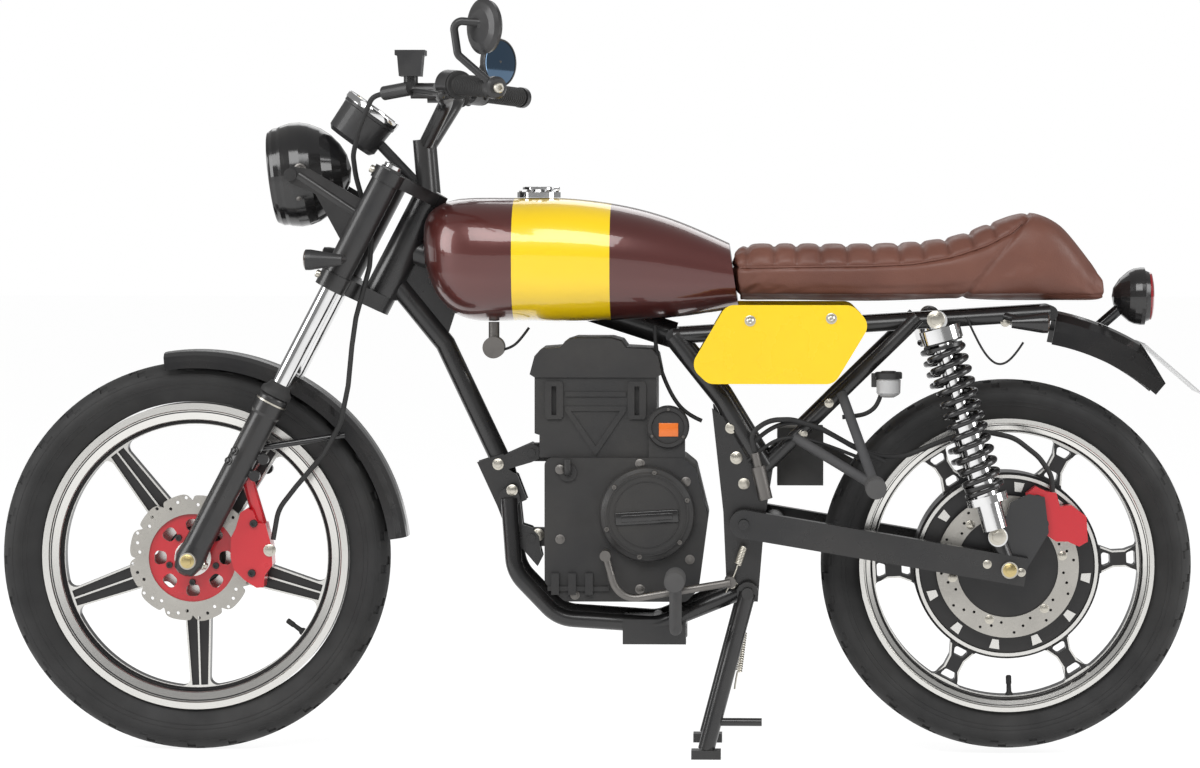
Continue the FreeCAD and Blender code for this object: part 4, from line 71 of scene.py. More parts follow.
# Places read from the frame


def joint(name):
    return next(entry for entry in frame["joints"] if entry["name"] == name)


def low_corner(node):
    return Vector(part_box(node)[0])


def high_corner(node):
    return Vector(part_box(node)[1])


def middle(node):
    return (low_corner(node) + high_corner(node)) / 2


FRONT_HUB = Vector(joint("front_wheel_spin")["pos_m"])
REAR_HUB = Vector(joint("rear_wheel_spin")["pos_m"])
HEAD_AXIS = Vector(joint("steering")["axis"]).normalized()
FORK_AHEAD = Vector((HEAD_AXIS.z, 0, -HEAD_AXIS.x))
STANCHION_RADIUS = 0.014
FORK_SPREAD = (high_corner("fork_tubes").y - low_corner("fork_tubes").y) / 2 - STANCHION_RADIUS


# Settings that a user would change


class FinishColours(bpy.types.PropertyGroup):
    """Colours of the main finishes"""

    tank: bpy.props.FloatVectorProperty(
        name="Tank", description="Dark metallic maroon of the tank", subtype="COLOR",
        size=3, min=0, max=1, default=(0.085, 0.018, 0.016))
    band: bpy.props.FloatVectorProperty(
        name="Band", description="Yellow of the tank's band and the side panels", subtype="COLOR",
        size=3, min=0, max=1, default=(0.92, 0.62, 0.0))
    leather: bpy.props.FloatVectorProperty(
        name="Leather", description="Brown of the seat's leather", subtype="COLOR",
        size=3, min=0, max=1, default=(0.12, 0.042, 0.027))
    brake: bpy.props.FloatVectorProperty(
        name="Brake red", description="Red of the calipers and the disc carrier", subtype="COLOR",
        size=3, min=0, max=1, default=(0.55, 0.01, 0.02))
    black: bpy.props.FloatVectorProperty(
        name="Black", description="Black of the frame and the castings", subtype="COLOR",
        size=3, min=0, max=1, default=(0.012, 0.012, 0.013))


class StageSizes(bpy.types.PropertyGroup):
    """Where the camera stands and how strong the lamps are"""

    distance: bpy.props.FloatProperty(
        name="Distance", description="From the camera to the motorcycle's middle plane",
        default=EYE.y, min=2, unit="LENGTH")
    eye_height: bpy.props.FloatProperty(
        name="Eye height", description="Height of the camera above the ground",
        default=EYE.z, min=0, unit="LENGTH")
    eye_along: bpy.props.FloatProperty(
        name="Eye place", description="Where the camera stands along the motorcycle",
        default=EYE.x, unit="LENGTH")
    aim_along: bpy.props.FloatProperty(
        name="Aim place", description="Where the picture's middle falls along the motorcycle",
        default=-0.003, unit="LENGTH")
    aim_height: bpy.props.FloatProperty(
        name="Aim height", description="Height of the picture's middle", default=0.578, unit="LENGTH")
    view_width: bpy.props.FloatProperty(
        name="View width", description="Width that the picture takes in", default=1.89, min=0.1,
        unit="LENGTH")
    key_power: bpy.props.FloatProperty(
        name="Key lamp", description="Power of the large lamp above the camera", default=120,
        min=0, unit="POWER")
    fill_power: bpy.props.FloatProperty(
        name="Fill lamps", description="Power of each lamp at the front and the back", default=60,
        min=0, unit="POWER")


# Building finishes


class Finish:
    """A node material that is put together one step at a time."""

    def __init__(self, name, colour, roughness=0.5, metallic=0.0):
        self.material = bpy.data.materials.new(name)
        self.material.use_nodes = True
        self.nodes = self.material.node_tree.nodes
        self.links = self.material.node_tree.links
        self.shader = self.nodes["Principled BSDF"]
        self.shader.inputs["Base Color"].default_value = (*colour, 1)
        self.shader.inputs["Roughness"].default_value = roughness
        self.shader.inputs["Metallic"].default_value = metallic
        self.place = self.nodes.new("ShaderNodeTexCoord").outputs["Object"]
        self.colour = None
        self.height = None

    def add(self, kind, **values):
        """Adds a node and sets its properties, or its sockets of that name."""
        made = self.nodes.new(kind)
        for name, value in values.items():
            if hasattr(made, name):
                setattr(made, name, value)
            else:
                made.inputs[name.replace("_", " ").title()].default_value = value
        return made

    def link(self, start, end):
        self.links.new(start, end)
        return self

    def noise(self, scale, detail=4.0, stretch=(1, 1, 1)):
        """A soft pattern, which a stretch turns into a grain."""
        mapping = self.add("ShaderNodeMapping")
        mapping.inputs["Scale"].default_value = stretch
        self.link(self.place, mapping.inputs["Vector"])
        texture = self.add("ShaderNodeTexNoise", Scale=scale, Detail=detail)
        self.link(mapping.outputs[0], texture.inputs["Vector"])
        return texture.outputs["Fac"]

    def cells(self, scale):
        """A pattern of small cells."""
        texture = self.add("ShaderNodeTexVoronoi", Scale=scale)
        self.link(self.place, texture.inputs["Vector"])
        return texture.outputs["Distance"]

    def spread(self, value, low, high, start=0.3, end=0.7):
        """Maps a pattern onto a range of numbers."""
        step = self.add("ShaderNodeMapRange")
        step.inputs["From Min"].default_value = start
        step.inputs["From Max"].default_value = end
        step.inputs["To Min"].default_value = low
        step.inputs["To Max"].default_value = high
        self.link(value, step.inputs["Value"])
        return step.outputs[0]

    def math(self, kind, first, second=0.0):
        step = self.add("ShaderNodeMath", operation=kind)
        for socket, value in zip(step.inputs, (first, second)):
            if isinstance(value, (int, float)):
                socket.default_value = value
            else:
                self.link(value, socket)
        return step.outputs[0]

    def axis(self, letter):
        split = self.add("ShaderNodeSeparateXYZ")
        self.link(self.place, split.inputs[0])
        return split.outputs[letter]

    def rough(self, low, high, scale, stretch=(1, 1, 1)):
        """Lets the roughness wander between two values."""
        self.link(self.spread(self.noise(scale, 5.0, stretch), low, high), self.shader.inputs["Roughness"])
        return self

    def tint(self, other, amount, scale=8.0, detail=4.0):
        """Lets the colour wander towards another one in soft patches."""
        mask = self.math("MULTIPLY", self.spread(self.noise(scale, detail), 0, 1), amount)
        return self.over(other, mask)

    def over(self, colour, mask):
        """Lays a colour over the one so far, as far as a mask says."""
        mix = self.add("ShaderNodeMix", data_type="RGBA")
        if self.colour is None:
            mix.inputs["A"].default_value = self.shader.inputs["Base Color"].default_value
        else:
            self.link(self.colour, mix.inputs["A"])
        mix.inputs["B"].default_value = (*colour, 1)
        self.link(mask, mix.inputs["Factor"])
        self.colour = mix.outputs["Result"]
        self.link(self.colour, self.shader.inputs["Base Color"])
        return self

    def bump(self, value, depth, strength):
        """Raises the surface by a pattern, on top of what raises it already."""
        step = self.add("ShaderNodeBump")
        step.inputs["Strength"].default_value = strength
        step.inputs["Distance"].default_value = depth
        self.link(value, step.inputs["Height"])
        if self.height is not None:
            self.link(self.height, step.inputs["Normal"])
        self.height = step.outputs[0]
        self.link(self.height, self.shader.inputs["Normal"])
        return self

    def coat(self, weight, roughness):
        """Adds a clear coat."""
        self.shader.inputs["Coat Weight"].default_value = weight
        self.shader.inputs["Coat Roughness"].default_value = roughness
        return self


def colours():
    return bpy.context.scene.finish_colours


BLACK_DUST = (0.03, 0.028, 0.026)
CAST_BLACK = (0.014, 0.014, 0.015)
BARE_METAL = (0.74, 0.73, 0.70)


def painted_black(name, roughness, lift=1.0):
    """Black powder coat, or plastic, with a little dust and an orange peel."""
    black = [part * lift for part in colours().black]
    finish = Finish(name, black, roughness)
    finish.tint(BLACK_DUST, 0.5, 12).rough(roughness * 0.75, roughness * 1.35, 22)
    finish.bump(finish.noise(900, 3.0), 0.00012, 0.35).coat(0.25, 0.12)
    return finish.material


def cast_black(name):
    """Matt black over the grain of a casting."""
    finish = Finish(name, CAST_BLACK, 0.55)
    finish.tint((0.04, 0.037, 0.033), 0.55, 9).rough(0.42, 0.68, 25)
    finish.bump(finish.noise(1400, 2.0), 0.0003, 0.5).bump(finish.noise(160, 4.0), 0.0003, 0.3)
    return finish.material


def metal(name, colour, roughness, grain=None):
    """Bare or plated metal, brushed along a grain where there is one."""
    finish = Finish(name, colour, roughness, 1.0)
    finish.tint([part * 0.72 for part in colour], 0.5, 14)
    if grain:
        finish.rough(roughness * 0.7, roughness * 1.5, 60, grain)
        finish.bump(finish.noise(260, 3.0, grain), 0.00006, 0.4)
    else:
        finish.rough(roughness * 0.7, roughness * 1.4, 30)
    return finish.material


def rubber(name, roughness=0.7, grey=0.012):
    """Dull rubber with paler, dusty patches."""
    finish = Finish(name, (grey, grey, grey * 1.05), roughness)
    finish.tint((grey * 3, grey * 2.9, grey * 2.7), 0.4, 6).rough(roughness * 0.85, roughness * 1.15, 18)
    finish.bump(finish.noise(1100, 2.0), 0.0002, 0.4)
    return finish.material


def gloss_paint(name, colour, roughness):
    """Coloured paint under a clear coat."""
    finish = Finish(name, colour, roughness)
    finish.tint([part * 0.85 for part in colour], 0.4, 5).rough(roughness * 0.8, roughness * 1.3, 14)
    finish.bump(finish.noise(420, 2.0), 0.00005, 0.3).coat(0.6, 0.06)
    return finish.material


MATERIALS = {}


def finish_of(name):
    """One of the shared finishes, made when it is first asked for."""
    if name not in MATERIALS:
        MATERIALS[name] = FINISHES[name](name)
    return MATERIALS[name]


BAND_REACH = (-0.022, 0.130)


def tank_paint(name):
    """Metallic maroon with a plain band around the tank."""
    metallic = 0.35
    finish = Finish(name, colours().tank, 0.3, metallic)
    finish.tint((0.15, 0.035, 0.028), 0.35, 3)
    flakes = finish.cells(900)
    finish.bump(flakes, 0.00003, 0.15).coat(1.0, 0.04)
    band = between(finish, finish.axis("X"), *BAND_REACH)
    finish.over(colours().band, band)
    finish.link(finish.math("MULTIPLY", finish.math("SUBTRACT", 1.0, band), metallic),
                finish.shader.inputs["Metallic"])
    return finish.material


def seat_leather(name):
    """Grained leather with worn, paler patches."""
    finish = Finish(name, colours().leather, 0.5)
    finish.tint((0.19, 0.075, 0.05), 0.55, 10, 6).rough(0.42, 0.62, 35)
    finish.bump(finish.cells(420), 0.0004, 0.35).bump(finish.noise(60, 5.0), 0.0008, 0.2)
    return finish.material


def lamp_glass(name):
    finish = Finish(name, (0.9, 0.93, 0.95), 0.05)
    finish.shader.inputs["Transmission Weight"].default_value = 0.85
    finish.rough(0.03, 0.1, 12)
    return finish.material


def mirror_glass(name):
    finish = Finish(name, (0.10, 0.16, 0.24), 0.06, 1.0)
    finish.rough(0.03, 0.09, 10)
    return finish.material


def from_hub(finish, hub):
    """How far a point lies from a wheel's axle."""
    along = finish.math("SUBTRACT", finish.axis("X"), hub.x)
    up = finish.math("SUBTRACT", finish.axis("Z"), hub.z)
    square = finish.math("ADD", finish.math("MULTIPLY", along, along), finish.math("MULTIPLY", up, up))
    return finish.math("SQRT", square)


def between(finish, value, low, high):
    """One where a value lies between two others, and zero elsewhere."""
    return finish.math("MULTIPLY", finish.math("GREATER_THAN", value, low),
                       finish.math("LESS_THAN", value, high))


def wheel_paint(name, roughness, smudge, hub, rings, faces):
    """Black paint with machined metal on rings around a hub and on faces that lie far enough out."""
    finish = Finish(name, colours().black, roughness)
    finish.tint(smudge, 0.5, 12)
    finish.bump(finish.noise(700, 3.0), 0.00008, 0.3)
    out = from_hub(finish, hub)
    side = finish.math("ABSOLUTE", finish.axis("Y"))
    masks = [finish.math("MULTIPLY", finish.math("GREATER_THAN", side, height),
                         between(finish, out, *reach)) for height, *reach in faces]
    masks += [between(finish, out, *ring) for ring in rings]
    bare = masks[0]
    for mask in masks[1:]:
        bare = finish.math("MAXIMUM", bare, mask)
    finish.over(BARE_METAL, bare)
    finish.link(bare, finish.shader.inputs["Metallic"])
    finish.link(finish.spread(bare, 0.3, 0.24, 0, 1), finish.shader.inputs["Roughness"])
    return finish.material


# Radii of the bare rings of each rim, and for its spokes and motor the height above the middle
# plane with the radii that they run between

FRONT_RINGS = ((0.2145, 0.2270), (0.2290, 0.2440))
FRONT_FACES = ((0.0124, 0.047, 0.209),)
REAR_RINGS = ((0.2115, 0.2190), (0.2205, 0.2340))
REAR_FACES = ((0.0162, 0.150, 0.209), (0.0447, 0.100, 0.149))
CALIPER_FACE = 0.0852


def rear_caliper_paint(name):
    """Red over the caliper's body and black over the bracket to its left."""
    finish = Finish(name, colours().brake, 0.3)
    finish.tint([part * 0.85 for part in colours().brake], 0.4, 5).coat(0.5, 0.08)
    finish.bump(finish.noise(420, 2.0), 0.00005, 0.3)
    bracket = finish.math("GREATER_THAN", finish.axis("Y"), CALIPER_FACE)
    return finish.over(CAST_BLACK, bracket).material


def dial_face(name):
    finish = Finish(name, (0.01, 0.01, 0.011), 0.6)
    finish.rough(0.5, 0.7, 40).bump(finish.noise(900, 2.0), 0.00004, 0.2)
    return finish.material


def lens(name, colour):
    finish = Finish(name, colour, 0.1)
    finish.rough(0.07, 0.18, 20).bump(finish.cells(260), 0.0003, 0.25).coat(1.0, 0.03)
    return finish.material


FINISHES = {
    "frame black": lambda name: painted_black(name, 0.28),
    "fork black": lambda name: painted_black(name, 0.34),
    "gloss black": lambda name: painted_black(name, 0.14),
    "plastic black": lambda name: painted_black(name, 0.48, 1.3),
    "cast black": cast_black,
    "front wheel paint": lambda name: wheel_paint(name, 0.3, BLACK_DUST, FRONT_HUB, FRONT_RINGS,
                                                  FRONT_FACES),
    "rear wheel paint": lambda name: wheel_paint(name, 0.34, (0.035, 0.032, 0.03), REAR_HUB,
                                                 REAR_RINGS, REAR_FACES),
    "rear caliper paint": rear_caliper_paint,
    "machined silver": lambda name: metal(name, (0.72, 0.71, 0.68), 0.3, (1, 8, 1)),
    "disc steel": lambda name: metal(name, (0.55, 0.53, 0.49), 0.36, (8, 1, 8)),
    "chrome": lambda name: metal(name, (0.78, 0.78, 0.78), 0.09),
    "zinc": lambda name: metal(name, (0.6, 0.57, 0.5), 0.34),
    "brass": lambda name: metal(name, (0.62, 0.5, 0.24), 0.32),
    "worn steel": lambda name: metal(name, (0.2, 0.19, 0.18), 0.45),
    "rubber": rubber,
    "tyre rubber": lambda name: rubber(name, 0.74, 0.013),
    "grey rubber": lambda name: rubber(name, 0.75, 0.05),
    "brake red": lambda name: gloss_paint(name, colours().brake, 0.3),
    "band yellow": lambda name: gloss_paint(name, colours().band, 0.25),
    "label orange": lambda name: gloss_paint(name, (0.75, 0.16, 0.01), 0.4),
    "plate grey": lambda name: gloss_paint(name, (0.5, 0.5, 0.5), 0.4),
    "tank paint": tank_paint,
    "seat leather": seat_leather,
    "lamp glass": lamp_glass,
    "red lens": lambda name: lens(name, (0.25, 0.0, 0.005)),
    "smoked lens": lambda name: lens(name, (0.05, 0.022, 0.01)),
    "dial face": dial_face,
    "mirror glass": mirror_glass,
}

NODE_FINISHES = {
    "front_tyre": "tyre rubber", "rear_tyre": "tyre rubber", "front_rim": "front wheel paint",
    "rear_rim": "rear wheel paint", "front_disc": "disc steel", "rear_disc": "disc steel",
    "disc_carrier": "brake red", "front_caliper": "brake red", "rear_caliper": "rear caliper paint",
    "frame_head": "frame black", "frame_cradle": "frame black", "frame_rear": "frame black",
    "swingarm": "frame black", "centre_stand": "frame black", "fork_tubes": "chrome",
    "fork_clamps": "fork black", "fork_sliders": "fork black", "fork_covers": "fork black",
    "front_axle": "zinc", "rear_axle": "zinc", "headlight_shell": "gloss black",
    "headlight_lens": "lamp glass", "instrument": "plastic black", "handlebar": "fork black",
    "grips": "rubber", "bar_controls": "plastic black", "mirrors": "plastic black",
    "front_fender": "gloss black", "rear_fender": "gloss black", "front_indicators": "plastic black",
    "drive_housing": "cast black", "fuel_tank": "tank paint", "tank_cap": "chrome",
    "seat": "seat leather", "side_panels": "band yellow", "ignition_lock": "worn steel",
    "rear_lights": "gloss black", "number_plate": "plate grey", "control_box": "cast black",
    "shock_dampers": "chrome", "shock_springs": "gloss black", "foot_pegs": "grey rubber",
    "brake_pedal": "worn steel", "front_brake_hose": "rubber", "rear_brake_hose": "rubber",
}


class CAFE_OT_finishes(bpy.types.Operator):
    """Gives every solid of the frame its finish"""

    bl_idname = "cafe.finishes"
    bl_label = "Frame Finishes"

    def execute(self, context):
        for name, node in frame["nodes"].items():
            node.data.materials.clear()
            node.data.materials.append(finish_of(NODE_FINISHES[name]))
        return {"FINISHED"}


# Shapes that several pieces share


# Points nearer to each other than this are one

MERGE_GAP = 0.000005


def new_verts(bm, before):
    return [vert for vert in bm.verts if vert not in before]


def set_down(bm, before, place, axis=FACE_UP, turn=0.0):
    """Takes what was just made at the origin to its place, with its Z along an axis."""
    matrix = (Matrix.Translation(place) @ Vector(axis).to_track_quat("Z", "Y").to_matrix().to_4x4()
              @ Matrix.Rotation(turn, 4, "Z"))
    bmesh.ops.transform(bm, matrix=matrix, verts=new_verts(bm, before))


def lathe(bm, profile, place, axis, steps=32):
    """Spins a profile of (along, out) points once around an axis."""
    before = set(bm.verts)
    line = [bm.verts.new((out, 0, along)) for along, out in profile]
    edges = [bm.edges.new(pair) for pair in zip(line, line[1:])]
    bmesh.ops.spin(bm, geom=line + edges, cent=(0, 0, 0), axis=(0, 0, 1), angle=math.tau, steps=steps,
                   use_merge=True)
    bmesh.ops.remove_doubles(bm, verts=new_verts(bm, before), dist=MERGE_GAP)
    set_down(bm, before, place, axis)


def block(bm, size, place, axis=FACE_UP, turn=0.0, bevel=0.001, segments=2):
    """A box with rounded edges around a place."""
    before = set(bm.verts)
    bmesh.ops.create_cube(bm, size=1)
    made = new_verts(bm, before)
    bmesh.ops.scale(bm, vec=size, verts=made)
    edges = list({edge for vert in made for edge in vert.link_edges})
    bmesh.ops.bevel(bm, geom=edges, offset=bevel, segments=segments, profile=0.5, affect="EDGES",
                    material=-1)
    set_down(bm, before, place, axis, turn)


# Screw heads as shares of their radius, along and out, from below the washer to the top

HEAD_STEPS = 24
HEX_WASHER_SHARES = ((-0.3, 0), (-0.3, 1.5), (0.14, 1.5), (0.2, 1.42), (0.2, 0))
SOCKET_SHARES = ((-0.3, 0), (-0.3, 1), (0.72, 1), (0.9, 0.86), (0.9, 0.52), (0.3, 0.5), (0.3, 0))
PAN_SHARES = ((-0.3, 0), (-0.3, 1.25), (0.1, 1.25), (0.16, 1.15), (0.16, 0.85), (0.42, 0.7), (0.55, 0.4),
              (0.52, 0.3), (0.3, 0.26), (0.3, 0))


def scaled(shares, radius):
    return [(along * radius, out * radius) for along, out in shares]


def hex_bolt(bm, place, axis, radius):
    """A washer under a hexagon head with its corners knocked off."""
    before = set(bm.verts)
    lathe(bm, scaled(HEX_WASHER_SHARES, radius), (0, 0, 0), FACE_UP, HEAD_STEPS)
    head = bmesh.ops.create_cone(bm, cap_ends=True, segments=6, radius1=radius, radius2=radius,
                                 depth=radius * 0.8,
                                 matrix=Matrix.Translation((0, 0, radius * 0.6)))["verts"]
    rim = [edge for edge in {edge for vert in head for edge in vert.link_edges}
           if all(vert.co.z > radius * 0.9 for vert in edge.verts)]
    bmesh.ops.bevel(bm, geom=rim, offset=radius * 0.14, segments=2, profile=0.5, affect="EDGES",
                    material=-1)
    set_down(bm, before, place, axis)


def socket_screw(bm, place, axis, radius):
    """A round head with a socket sunk into it."""
    lathe(bm, scaled(SOCKET_SHARES, radius), place, axis, HEAD_STEPS)


def pan_screw(bm, place, axis, radius):
    """A domed head on a washer."""
    lathe(bm, scaled(PAN_SHARES, radius), place, axis, HEAD_STEPS)


def along_path(bm, points, radius, sides=10):
    """A round rod, wire or cable whose line is a smooth spline."""
    curve = bpy.data.curves.new("path", "CURVE")
    curve.dimensions = "3D"
    curve.bevel_depth = radius
    curve.bevel_resolution = max(1, sides // 4)
    curve.resolution_u = 6
    curve.use_fill_caps = True
    spline = curve.splines.new("NURBS")
    spline.points.add(len(points) - 1)
    for point, place in zip(spline.points, points):
        point.co = (*place, 1)
    spline.order_u = 3
    spline.use_endpoint_u = True
    holder = bpy.data.objects.new("path", curve)
    mesh = bpy.data.meshes.new_from_object(holder)
    bm.from_mesh(mesh)
    bpy.data.objects.remove(holder)
    bpy.data.curves.remove(curve)
    bpy.data.meshes.remove(mesh)


def coil(bm, low, high, radius, wire, turns, steps=14):
    """A close spring between two points."""
    before = set(bm.verts)
    run = Vector(high) - Vector(low)
    upright = Matrix.Translation((radius, 0, 0)) @ Matrix.Rotation(math.pi / 2, 4, "X")
    ring = bmesh.ops.create_circle(bm, segments=8, radius=wire, matrix=upright)
    edges = list({edge for vert in ring["verts"] for edge in vert.link_edges})
    count = turns * steps
    bmesh.ops.spin(bm, geom=ring["verts"] + edges, cent=(0, 0, 0), axis=(0, 0, 1),
                   dvec=(0, 0, run.length / count), angle=math.tau * turns, steps=count, use_merge=False)
    rims = [edge for edge in bm.edges if edge.is_boundary and edge.verts[0] not in before]
    bmesh.ops.holes_fill(bm, edges=rims)
    set_down(bm, before, low, run)


def ring_of(count, turn=0.0, axis="Y"):
    """Directions spread evenly around an axis, the first one turned from straight ahead."""
    return [Matrix.Rotation(math.tau * number / count + turn, 3, axis) @ AHEAD for number in range(count)]


def piece(name, bm, body, finish, slot, smooth=38):
    """Closes a shape into a piece that rides on a body."""
    bmesh.ops.recalc_face_normals(bm, faces=bm.faces)
    mesh = bpy.data.meshes.new(name)
    bm.to_mesh(mesh)
    bm.free()
    mesh.shade_smooth()
    mesh.set_sharp_from_angle(angle=math.radians(smooth))
    mesh.materials.append(finish_of(finish))
    made = bpy.data.objects.new(name, mesh)
    bpy.context.scene.collection.objects.link(made)
    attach(made, body)
    return made


def spun_piece(name, profile, place, axis, steps, *looks):
    """A piece that is one profile spun around an axis."""
    bm = bmesh.new()
    lathe(bm, profile, place, axis, steps)
    return piece(name, bm, *looks)


# Where pieces sit


# How far from the middle plane rays start, and how far to the left a solid is first taken to be

CLEAR_OF_ALL = 0.6
FIRST_DEPTH = 0.08
TREES = {}


def surface_of(name):
    """What a ray can meet on a solid of the frame."""
    if name not in TREES:
        bm = bmesh.new()
        bm.from_mesh(frame["nodes"][name].data)
        TREES[name] = BVHTree.FromBMesh(bm)
        bm.free()
    return TREES[name]


def seen_at(x, y, side):
    """Where a place in the photograph lies on the motorcycle, at a distance to its left."""
    across, down = x - PHOTO_CENTRE[0], y - PHOTO_CENTRE[1]
    scale = PHOTO_SCALE * (EYE.y - side) / EYE.y
    return Vector((EYE.x - across * scale, side, EYE.z - down * scale))


def struck(point, names, side=1):
    """What a line across the motorcycle first meets of some solids."""
    start = Vector((point.x, CLEAR_OF_ALL * side, point.z))
    hits = [surface_of(name).ray_cast(start, LEFT * -side) for name in names]
    hits = [hit for hit in hits if hit[0] is not None]
    if not hits:
        raise RuntimeError(f"no solid of {names} lies at {point}")
    return max(hits, key=lambda hit: hit[0].y * side)


def carried_at(point, names, side=1):
    """Where a line across the motorcycle first meets one of some solids."""
    return struck(point, names, side)[0]


def carried_facing(x, y, names):
    """Where a place in the photograph meets a solid, and the way that the solid faces there."""
    depth = FIRST_DEPTH
    for attempt in range(3):
        place, normal = struck(seen_at(x, y, depth), names)[:2]
        depth = place.y
    return place, normal


def carried(x, y, names):
    """Where a place in the photograph meets a solid."""
    return carried_facing(x, y, names)[0]


def bolt_through(bm, x, y, names, radius):
    """A bolt head on each side of a solid that a place in the photograph shows."""
    place = carried(x, y, names)
    hex_bolt(bm, place, LEFT, radius)
    hex_bolt(bm, carried_at(place, names, -1), -LEFT, radius)


def sided(point, side):
    """A place or direction of the left side, or its mirror image on the right."""
    return Vector((point.x, point.y * side, point.z))


def seat_of(name, start, way):
    """Where a ray from a point meets a solid."""
    place, normal = surface_of(name).ray_cast(Vector(start), Vector(way))[:2]
    if place is None:
        raise RuntimeError(f"nothing of {name} lies on that ray")
    return place, normal


# Tyres and wheels

# A tyre's outline as shares of its half width and of its height, from one bead to the other

TYRE_SHARES = [(-0.62, 0.0), (-0.82, 0.28), (-1.0, 0.60), (-0.88, 0.82), (-0.60, 0.94), (-0.25, 1.0),
               (0.25, 1.0), (0.60, 0.94), (0.88, 0.82), (1.0, 0.60), (0.82, 0.28), (0.62, 0.0)]

# The tread in steps around the tyre: a groove every few steps, slanted across, with the grooves of
# one half shifted; shares are of the tyre's height and half width

TREAD_STEPS = 144
TREAD_PERIOD = 5
TREAD_SLANT = 7
TREAD_SHIFT = 2.5
TREAD_DEPTH = 0.0028
TREAD_START_SHARE = 0.74
RIDGE_HALF_SHARE = 0.05
CENTRE_BAND_SHARE = 0.16
WALL_RING_SHARES = (0.36, 0.47, 0.70)
FRONT_BEAD = 0.2443
REAR_BEAD = 0.2303


def tyre(name, hub, bead, crown, width):
    """A tyre with blocks across its tread, cut into the outline of its solid."""
    bm = bmesh.new()
    depth = crown - bead
    line = [Vector((bead + depth * rise, 0, across * width / 2)) for across, rise in TYRE_SHARES]
    verts = [bm.verts.new(point) for point in line]
    for pair in zip(verts, verts[1:]):
        bm.edges.new(pair)
    inner = bm.edges.new((verts[-1], verts[0]))
    bmesh.ops.bevel(bm, geom=verts[1:-1], offset=width * 0.05, segments=2, profile=0.5,
                    affect="VERTICES", material=-1)
    bmesh.ops.subdivide_edges(bm, edges=[edge for edge in bm.edges
                                         if edge != inner and edge.calc_length() > width * 0.11], cuts=1)
    bmesh.ops.spin(bm, geom=bm.verts[:] + bm.edges[:], cent=(0, 0, 0), axis=(0, 0, 1), angle=math.tau,
                   steps=TREAD_STEPS, use_merge=True)
    bmesh.ops.remove_doubles(bm, verts=bm.verts, dist=MERGE_GAP)
    bmesh.ops.recalc_face_normals(bm, faces=bm.faces)
    grooves = [face for face in bm.faces if is_groove(face.calc_center_median(), bead + depth
                                                      * TREAD_START_SHARE, width)]
    made = bmesh.ops.extrude_face_region(bm, geom=grooves)["geom"]
    for vert in made:
        if isinstance(vert, bmesh.types.BMVert):
            vert.co -= Vector((vert.co.x, vert.co.y, 0)).normalized() * TREAD_DEPTH
    bmesh.ops.delete(bm, geom=grooves, context="FACES_ONLY")
    bmesh.ops.transform(bm, matrix=Matrix.Translation(hub) @ Matrix.Rotation(-math.pi / 2, 4, "X"),
                        verts=bm.verts)
    for side in SIDES:
        for share in WALL_RING_SHARES:
            out = bead + depth * share
            half = tyre_half(share) * width / 2
            lathe(bm, [(half - 0.002, out + 0.0011), (half + 0.0004, out + 0.0005),
                       (half + 0.0004, out - 0.0005), (half - 0.002, out - 0.0011)], hub,
                  LEFT * side, TREAD_STEPS)
    made = piece(f"{name}_tyre_tread", bm, f"{name}_wheel", "tyre rubber", "tyre_rubber", 32)
    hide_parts(f"{name}_tyre")


def is_groove(place, start, width):
    """Whether a place on the tread, with the axle along Z, lies in a groove."""
    if math.hypot(place.x, place.y) < start:
        return False
    across = abs(place.z) / (width / 2)
    slant = place.z / width * TREAD_SLANT + (TREAD_SHIFT if place.z > 0 else 0)
    step = (math.atan2(place.y, place.x) / math.tau * TREAD_STEPS + slant) % TREAD_PERIOD
    return step < 1.0 and across > CENTRE_BAND_SHARE or across < RIDGE_HALF_SHARE


def tyre_half(share):
    """How wide a tyre is at a share of its height, as a share of its half width."""
    right = sorted((rise, across) for across, rise in TYRE_SHARES if across > 0)
    for (low, near), (high, far) in zip(right, right[1:]):
        if low <= share <= high:
            return near + (far - near) * (share - low) / (high - low)
    raise ValueError(f"no wall of the tyre at {share}")


def half_and_width(node):
    low, high = low_corner(node), high_corner(node)
    return (high.x - low.x) / 2, high.y - low.y


class CAFE_OT_tyres(bpy.types.Operator):
    """Cuts the blocks of the tread into both tyres"""

    bl_idname = "cafe.tyres"
    bl_label = "Tyres"

    def execute(self, context):
        tyre("front", FRONT_HUB, FRONT_BEAD, *half_and_width("front_tyre"))
        tyre("rear", REAR_HUB, REAR_BEAD, *half_and_width("rear_tyre"))
        return {"FINISHED"}


# Screws of the discs: how far out they stand, and their radius

CARRIER_SCREW_OUT = 0.0385
CARRIER_SCREW = 0.0052
HUB_RING_OUT = 0.026
HUB_RING_LINE = ((-0.002, 0.014), (-0.002, 0.0288), (0.0022, 0.0288), (0.003, 0.0272), (0.003, 0.0185),
                 (0.0012, 0.0172), (0.0012, 0.014), (-0.002, 0.014))
REAR_DISC_BOLT_OUT = 0.087
REAR_DISC_BOLT = 0.0048
FRONT_CARRIERS = ["disc_carrier", "front_rim"]
REAR_CARRIERS = ["rear_disc", "rear_rim"]

# Each valve's wheel, hub, distance from the hub and place in the photograph

VALVES = (("front_wheel", FRONT_HUB, 0.2085, 303, 635), ("rear_wheel", REAR_HUB, 0.2095, 1009, 690))
VALVE_LINE = ((-0.004, 0), (-0.004, 0.0065), (0.004, 0.0062), (0.007, 0.0040), (0.019, 0.0036),
              (0.0195, 0.0044), (0.031, 0.0044), (0.033, 0.0030), (0.033, 0))


